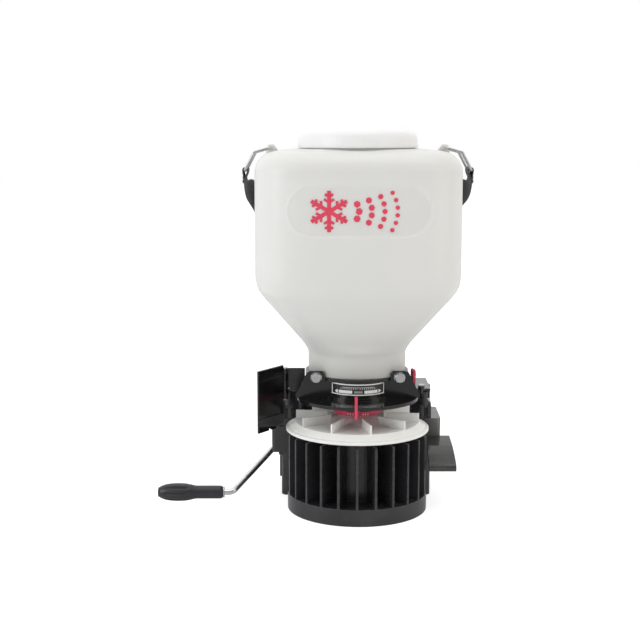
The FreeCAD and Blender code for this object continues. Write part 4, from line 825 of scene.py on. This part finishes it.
# --------------------------------------------------------------------------- decal
CRYSTAL_X = -36.0
CRYSTAL_RADIUS = 24.0
CRYSTAL_BRANCHES = ((10.5, 7.0), (17.0, 5.6))     # distance along the arm, length
# arcs of granules: distance, count, size
GRANULE_ARCS = ((29, 3, 4.2), (44, 4, 3.8), (59, 5, 3.3), (74, 6, 2.8))


def build_decal():
    """A snow crystal and a fan of granules, printed in the front panel."""
    verts, faces = [], []

    def plate(points):
        """A thin plate that stands 0.5 mm out of the hopper's front and sinks 0.3 mm in."""
        faces.extend(prism_faces(len(points), base=len(verts)))
        for offset in (-0.50, 0.30):
            for x, z in points:
                verts.append(Vector((x, front_y(x, z) + offset, z)) * MM)

    def bar(x0, z0, x1, z1, width):
        """A straight bar, cut into short plates so that it follows the surface."""
        dx, dz = x1 - x0, z1 - z0
        length = math.hypot(dx, dz)
        px, pz = -(dz / length) * width / 2, dx / length * width / 2
        steps = max(1, int(length / 6))
        for k in range(steps):
            a, b = k / steps, (k + 1) / steps
            plate([(x0 + dx * a + px, z0 + dz * a + pz), (x0 + dx * a - px, z0 + dz * a - pz),
                   (x0 + dx * b - px, z0 + dz * b - pz), (x0 + dx * b + px, z0 + dz * b + pz)])

    def hexagon(x, z, size, turn=0.0):
        corners = [turn + math.radians(60 * k) for k in range(6)]
        plate([(x + size * math.cos(a), z + size * math.sin(a)) for a in corners])

    for k in range(6):
        arm = math.radians(60 * k + 30)
        ux, uz = math.cos(arm), math.sin(arm)
        bar(CRYSTAL_X + ux * 1.5, PANEL_Z + uz * 1.5,
            CRYSTAL_X + ux * CRYSTAL_RADIUS, PANEL_Z + uz * CRYSTAL_RADIUS, width=4.6)
        for distance, length in CRYSTAL_BRANCHES:
            for side in (-1, 1):
                branch = arm + side * math.radians(58)
                x, z = CRYSTAL_X + ux * distance, PANEL_Z + uz * distance
                bar(x, z, x + math.cos(branch) * length, z + math.sin(branch) * length,
                    width=3.0)
    hexagon(CRYSTAL_X, PANEL_Z, size=4.4)
    for arc, (distance, count, size) in enumerate(GRANULE_ARCS):
        for k in range(count):
            angle = math.radians(-24 + 48 * k / (count - 1))
            hexagon(CRYSTAL_X + 6 + distance * math.cos(angle),
                    PANEL_Z + distance * math.sin(angle) * 0.72, size,
                    turn=math.radians(25 * arc + 17 * k))
    ob = new_mesh("panel_decal", verts, faces, smooth=False)
    fix_normals(ob, merge=False)
    ob.data.materials.append(MATERIALS["decal"])
    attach(ob, "root")


build_decal()

# --------------------------------------------------------------------------- crank grip
GRIP_BORE = 3.84
GRIP_FLUTES = 8
# distance from the grip's +X end, radius
GRIP_RADII = [
    (0.0, 6.0), (1.0, 7.2), (2.4, 8.0), (6.0, 8.2), (20.0, 8.2), (32.0, 8.2), (35.5, 8.5),
    (39.0, 9.3), (43.0, 10.2), (49.0, 10.95), (56.0, 11.15), (63.0, 10.95), (69.0, 10.3),
    (73.5, 9.3), (77.0, 8.0), (79.0, 7.0), (79.8, 6.2), (80.0, 5.4)]


def build_grip():
    low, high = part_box("crank_grip")
    start_x, end_x = high.x / MM, low.x / MM
    knots, radii = zip(*GRIP_RADII)
    radius_at = pchip(knots, radii)
    # five steps to each gap of the table but the last
    places = [a + (b - a) * (step / 5) for a, b in zip(knots[:-2], knots[1:-1])
              for step in range(5)]
    places.append(knots[-1])
    profile = [(radius_at(place), start_x - place) for place in places]
    profile += [(GRIP_BORE, end_x + 0.02), (GRIP_BORE, start_x)]

    def fluted(radius, x, angle):
        """Flutes along the thick part; the bore stays round."""
        if radius < 4.5:
            return radius
        place = start_x - x
        depth = smoothstep(41.0, 47.0, place) * (1 - smoothstep(70.0, 76.5, place))
        if depth <= 0:
            return radius
        return radius - 1.75 * depth * (0.5 + 0.5 * math.cos(GRIP_FLUTES * angle)) ** 2.2

    centre = (0, (low.y + high.y) / 2 / MM, (low.z + high.z) / 2 / MM)
    grip = lathe("grip_handle", profile, segments=192, centre=centre, radial=fluted, axis="X")
    smooth_by_angle(grip, 45)
    grip.data.materials.append(MATERIALS["grip"])
    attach(grip, "grip")
    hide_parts("crank_grip")


build_grip()

# --------------------------------------------------------------------------- strap
# right half, from the bail round to the middle of the back:
# centre, direction across the band, direction through it
STRAP_PATH = [
    ((138.2, 29.0, 410.5), (0, 1, 0), (1, 0, 0)),
    ((137.8, 31.0, 403.0), (-0.06, 0.97, 0.20), (1, 0.1, 0)),
    ((135.0, 47, 396.0), (-0.14, 0.78, 0.58), (0.97, 0.25, 0)),
    ((129.6, 78, 386.0), (-0.16, 0.55, 0.81), (0.92, 0.35, -0.05)),
    ((119.5, 112, 366.0), (-0.24, 0.32, 0.90), (0.78, 0.6, 0)),
    ((104.0, 139, 336.0), (-0.36, 0.12, 0.91), (0.5, 0.85, 0)),
    ((82.0, 151, 300.0), (-0.38, 0, 0.93), (0.3, 0.95, 0)),
    ((54.0, 157, 262.0), (-0.28, 0, 0.95), (0.12, 0.99, 0)),
    ((26.0, 158.3, 243.0), (-0.13, 0, 0.99), (0.05, 1, 0)),
    ((0.0, 158.5, 237.5), (0, 0, 1), (0, 1, 0))]
LEFT_STRAP_END = ((-0.2, 158.5, 237.5), (0, 0, 1), (0, 1, 0))    # just short of the middle
BAIL_WIRE = 1.8           # radius of the bail's wire
FOLD_RADIUS = 3.0         # of the webbing's turn round the bail


def ribbon_section(width, thick):
    """Closed (across, through) section with thicker cords near its edges."""
    half, columns = width / 2, 14
    upper = []
    for k in range(columns + 1):
        u = -half + width * k / columns
        edge = max(0.0, abs(u) - (half - 1.6)) / 1.6
        cord = 1.0 + 0.35 * math.exp(-((abs(u) - half + 1.4) / 0.9) ** 2)
        upper.append((u, thick / 2 * cord * math.sqrt(max(0.04, 1 - edge ** 2.4))))
    return upper + [(u, -t) for u, t in reversed(upper)]


def ribbon(name, stations, width, thick, steps):
    """A woven band through stations of (centre, across direction, through direction)."""
    flat = [list(c) + list(Vector(w).normalized()) + list(Vector(t).normalized())
            for c, w, t in stations]
    path = catmull(flat, steps)
    section = ribbon_section(width, thick)
    verts, uvs = [], []
    run = 0.0
    previous = None
    for p in path:
        centre, across, through = Vector(p[0:3]), Vector(p[3:6]).normalized(), Vector(p[6:9])
        through = (through - across * through.dot(across)).normalized()
        if previous is not None:
            run += (centre - previous).length
        previous = centre
        for u, t in section:
            verts.append((centre + across * u + through * t) * MM)
            uvs.append((u / UV_UNIT, run / UV_UNIT))
    ob = new_mesh(name, verts, tube_faces(len(path), len(section)))
    layer = ob.data.uv_layers.new(name="UVMap")
    for loop in ob.data.loops:
        layer.data[loop.index].uv = uvs[loop.vertex_index]
    fix_normals(ob, merge=False)
    smooth_by_angle(ob, 60)
    ob.data.materials.append(MATERIALS["webbing"])
    return ob


def stitches(name, lines, normal):
    """Rows of short raised stitches along (start, end) lines on a face with this normal."""
    length, gap, thread_radius = 2.4, 1.3, 0.32
    segments, sides = 6, 6
    verts, faces = [], []
    normal = Vector(normal)
    for start, end in lines:
        start = Vector(start)
        along = Vector(end) - start
        total = along.length
        along.normalize()
        across = along.cross(normal).normalized()
        place = 0.4
        while place + length < total:
            faces += tube_faces(segments + 1, sides, base=len(verts))
            for i in range(segments + 1):
                t = i / segments
                radius = thread_radius * math.sqrt(max(0.05, 1 - (2 * t - 1) ** 4))
                centre = (start + along * (place + t * length)
                          + normal * (0.18 * math.sin(math.pi * t)))
                for k in range(sides):
                    a = 2 * math.pi * k / sides
                    verts.append((centre + across * (radius * math.cos(a))
                                  + normal * (radius * math.sin(a))) * MM)
            place += length + gap
    ob = new_mesh(name, verts, faces)
    fix_normals(ob, merge=False)
    ob.data.materials.append(MATERIALS["thread"])
    return ob


def build_band(side, tag):
    """One half of the long strap."""
    stations = [tuple((side * x, y, z) for x, y, z in station) for station in STRAP_PATH]
    if side < 0:
        stations[-1] = LEFT_STRAP_END
    band = ribbon("strap_" + tag, stations, width=37.6, thick=1.7, steps=10)
    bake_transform(band)
    if side > 0:
        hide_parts("strap_webbing")


def build_fold(side, tag, bar_x, bar_z, end_z):
    """The folded end: up the outside, round the bail's outer bar and down again."""
    path = [(bar_x + side * 2.35, end_z + 0.2), (bar_x + side * 1.9, end_z + 7.0),
            (bar_x + side * 2.6, bar_z - 4.0)]
    for k in range(9):
        a = math.radians(-20 + 220 * k / 8)
        path.append((bar_x + side * FOLD_RADIUS * math.cos(a),
                     bar_z + FOLD_RADIUS * math.sin(a)))
    path += [(bar_x - side * 2.2, bar_z - 4.0), (bar_x - side * 0.1, end_z + 7.0),
             (bar_x + side * 0.35, end_z + 1.6)]
    stations = []
    for i, (x, z) in enumerate(path):
        x0, z0 = path[max(i - 1, 0)]
        x1, z1 = path[min(i + 1, len(path) - 1)]
        dx, dz = x1 - x0, z1 - z0
        length = math.hypot(dx, dz)
        stations.append(((x, HOPPER_Y, z), (0, 1, 0), (-dz / length, 0, dx / length)))
    fold = ribbon("strap_fold_" + tag, stations, width=33.6, thick=1.5, steps=4)
    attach(fold, "strap_bail_" + tag)
    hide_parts("strap_end_" + tag)


def build_stitching(side, tag, bar_x, end_z):
    """A stitched box with a cross in it, on the fold's outer face."""
    low_x = bar_x + side * 3.15
    high_x = low_x - side * 0.3
    low_z, high_z = end_z + 1.6, end_z + 8.5
    front_low, back_low = ((low_x, HOPPER_Y + dy, low_z) for dy in (-14, 14))
    front_high, back_high = ((high_x, HOPPER_Y + dy, high_z) for dy in (-14, 14))
    lines = [(front_low, front_high), (back_low, back_high), (front_low, back_low),
             (front_high, back_high), (front_low, back_high), (back_low, front_high)]
    sewing = stitches("strap_stitch_" + tag, lines, normal=(side, 0, 0))
    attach(sewing, "strap_bail_" + tag)


for side, tag in SIDES:
    build_band(side, tag)
    end_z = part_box("strap_end_" + tag)[0].z / MM
    bail_low, bail_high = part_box("strap_bail_" + tag)
    bar_x = side * (max(abs(bail_low.x), abs(bail_high.x)) / MM - BAIL_WIRE)
    bar_z = bail_low.z / MM + BAIL_WIRE
    build_fold(side, tag, bar_x, bar_z, end_z)
    build_stitching(side, tag, bar_x, end_z)


# --------------------------------------------------------------------------- floor
def floor_pale():
    """Burns out to white for the camera and lights softly, but stays dim in reflections."""
    seen_glow, diffuse_glow, glossy_glow = 0.72, 0.46, 0.16
    m = Material("floor_pale")
    rays = m.node("LightPath").outputs
    seen = m.math("MULTIPLY", rays["Is Camera Ray"], seen_glow)
    diffuse = m.math("MULTIPLY", rays["Is Diffuse Ray"], diffuse_glow)
    glossy = m.math("MULTIPLY", rays["Is Glossy Ray"], glossy_glow)
    m.set(Base_Color=m.tones(m.noise(scale=3.0, detail=4.0), (0.50, 0.50, 0.50),
                             (0.53, 0.53, 0.53)),
          Roughness=0.7, Specular_IOR_Level=0.2, Emission_Color=(1, 1, 1),
          Emission_Strength=m.math("ADD", seen, m.math("ADD", diffuse, glossy)))
    return m.material


floor_material = floor_pale()
floor = new_mesh("floor", [(-9, -5, 0), (9, -5, 0), (9, 9, 0), (-9, 9, 0)], [(0, 1, 2, 3)],
                 smooth=False)
floor.location.z = CAD_BOX[0][2]
floor.data.materials.append(floor_material)


# --------------------------------------------------------------------------- world
def build_world():
    """White to the camera; as light, dim from the front, bright from above and behind."""
    base_level, least_level = 0.60, 0.05
    front_dim, back_lift, top_lift, left_lift = 0.38, 0.42, 0.34, 0.10
    world = bpy.data.worlds.new("studio")
    scene.world = world
    world.use_nodes = True
    g = Graph(world.node_tree)
    x, y, z = g.separate(g.node("TexCoord").outputs["Generated"])
    frontness = g.math("MAXIMUM", g.math("MULTIPLY", y, -1.0), 0.0)
    front = g.math("MULTIPLY", frontness, front_dim)
    top = g.math("MULTIPLY", g.math("MAXIMUM", z, 0.0), top_lift)
    left = g.math("MULTIPLY", g.math("MULTIPLY", x, -1.0), left_lift)
    back = g.math("MULTIPLY", g.math("MAXIMUM", y, 0.0), back_lift)
    level = g.math("ADD", g.math("ADD", g.math("SUBTRACT", base_level, front), back),
                   g.math("ADD", top, left))
    lighting = g.node("Background", {0: (1, 1, 1), 1: g.math("MAXIMUM", level, least_level)})
    backdrop = g.node("Background", {0: (1, 1, 1), 1: 1.0})
    is_camera = g.node("LightPath").outputs["Is Camera Ray"]
    mixed = g.node("MixShader", {0: is_camera, 1: lighting.outputs[0], 2: backdrop.outputs[0]})
    g.node("OutputWorld", {0: mixed.outputs[0]})


build_world()


# --------------------------------------------------------------------------- lights
def area_light(name, place, target, size, power, colour=(1, 1, 1)):
    light = bpy.data.lights.new(name, "AREA")
    light.shape = "RECTANGLE"
    light.size, light.size_y = size
    light.energy = power
    light.color = colour
    ob = bpy.data.objects.new(name, light)
    coll.objects.link(ob)
    ob.location = place
    aim = Vector(target) - Vector(place)
    ob.rotation_euler = aim.to_track_quat("-Z", "Y").to_euler()


area_light("key_left", place=(-1.7, -1.1, 0.9), target=(0, 0, 0.25), size=(0.9, 1.3), power=13.5)
area_light("top_soft", place=(0.1, -0.2, 1.9), target=(0, 0, 0.2), size=(1.4, 1.2), power=6.0)
area_light("fill_right", place=(1.6, -0.9, 0.75), target=(0, 0, 0.2), size=(1.0, 1.4), power=8.5,
           colour=(1.0, 0.945, 0.87))

# --------------------------------------------------------------------------- camera
CAMERA_TILT = 8.8         # degrees below level
camera_data = bpy.data.cameras.new("camera")
camera_data.lens = 69.1875
camera_data.sensor_width = 36.0
camera_data.clip_end = 50
camera = bpy.data.objects.new("camera", camera_data)
coll.objects.link(camera)
camera.location = (-0.0465, -1.5, 0.469)
camera.rotation_euler = (math.radians(90 - CAMERA_TILT), 0, 0)
scene.camera = camera
scene.view_settings.view_transform = "Standard"
scene.view_settings.look = "None"
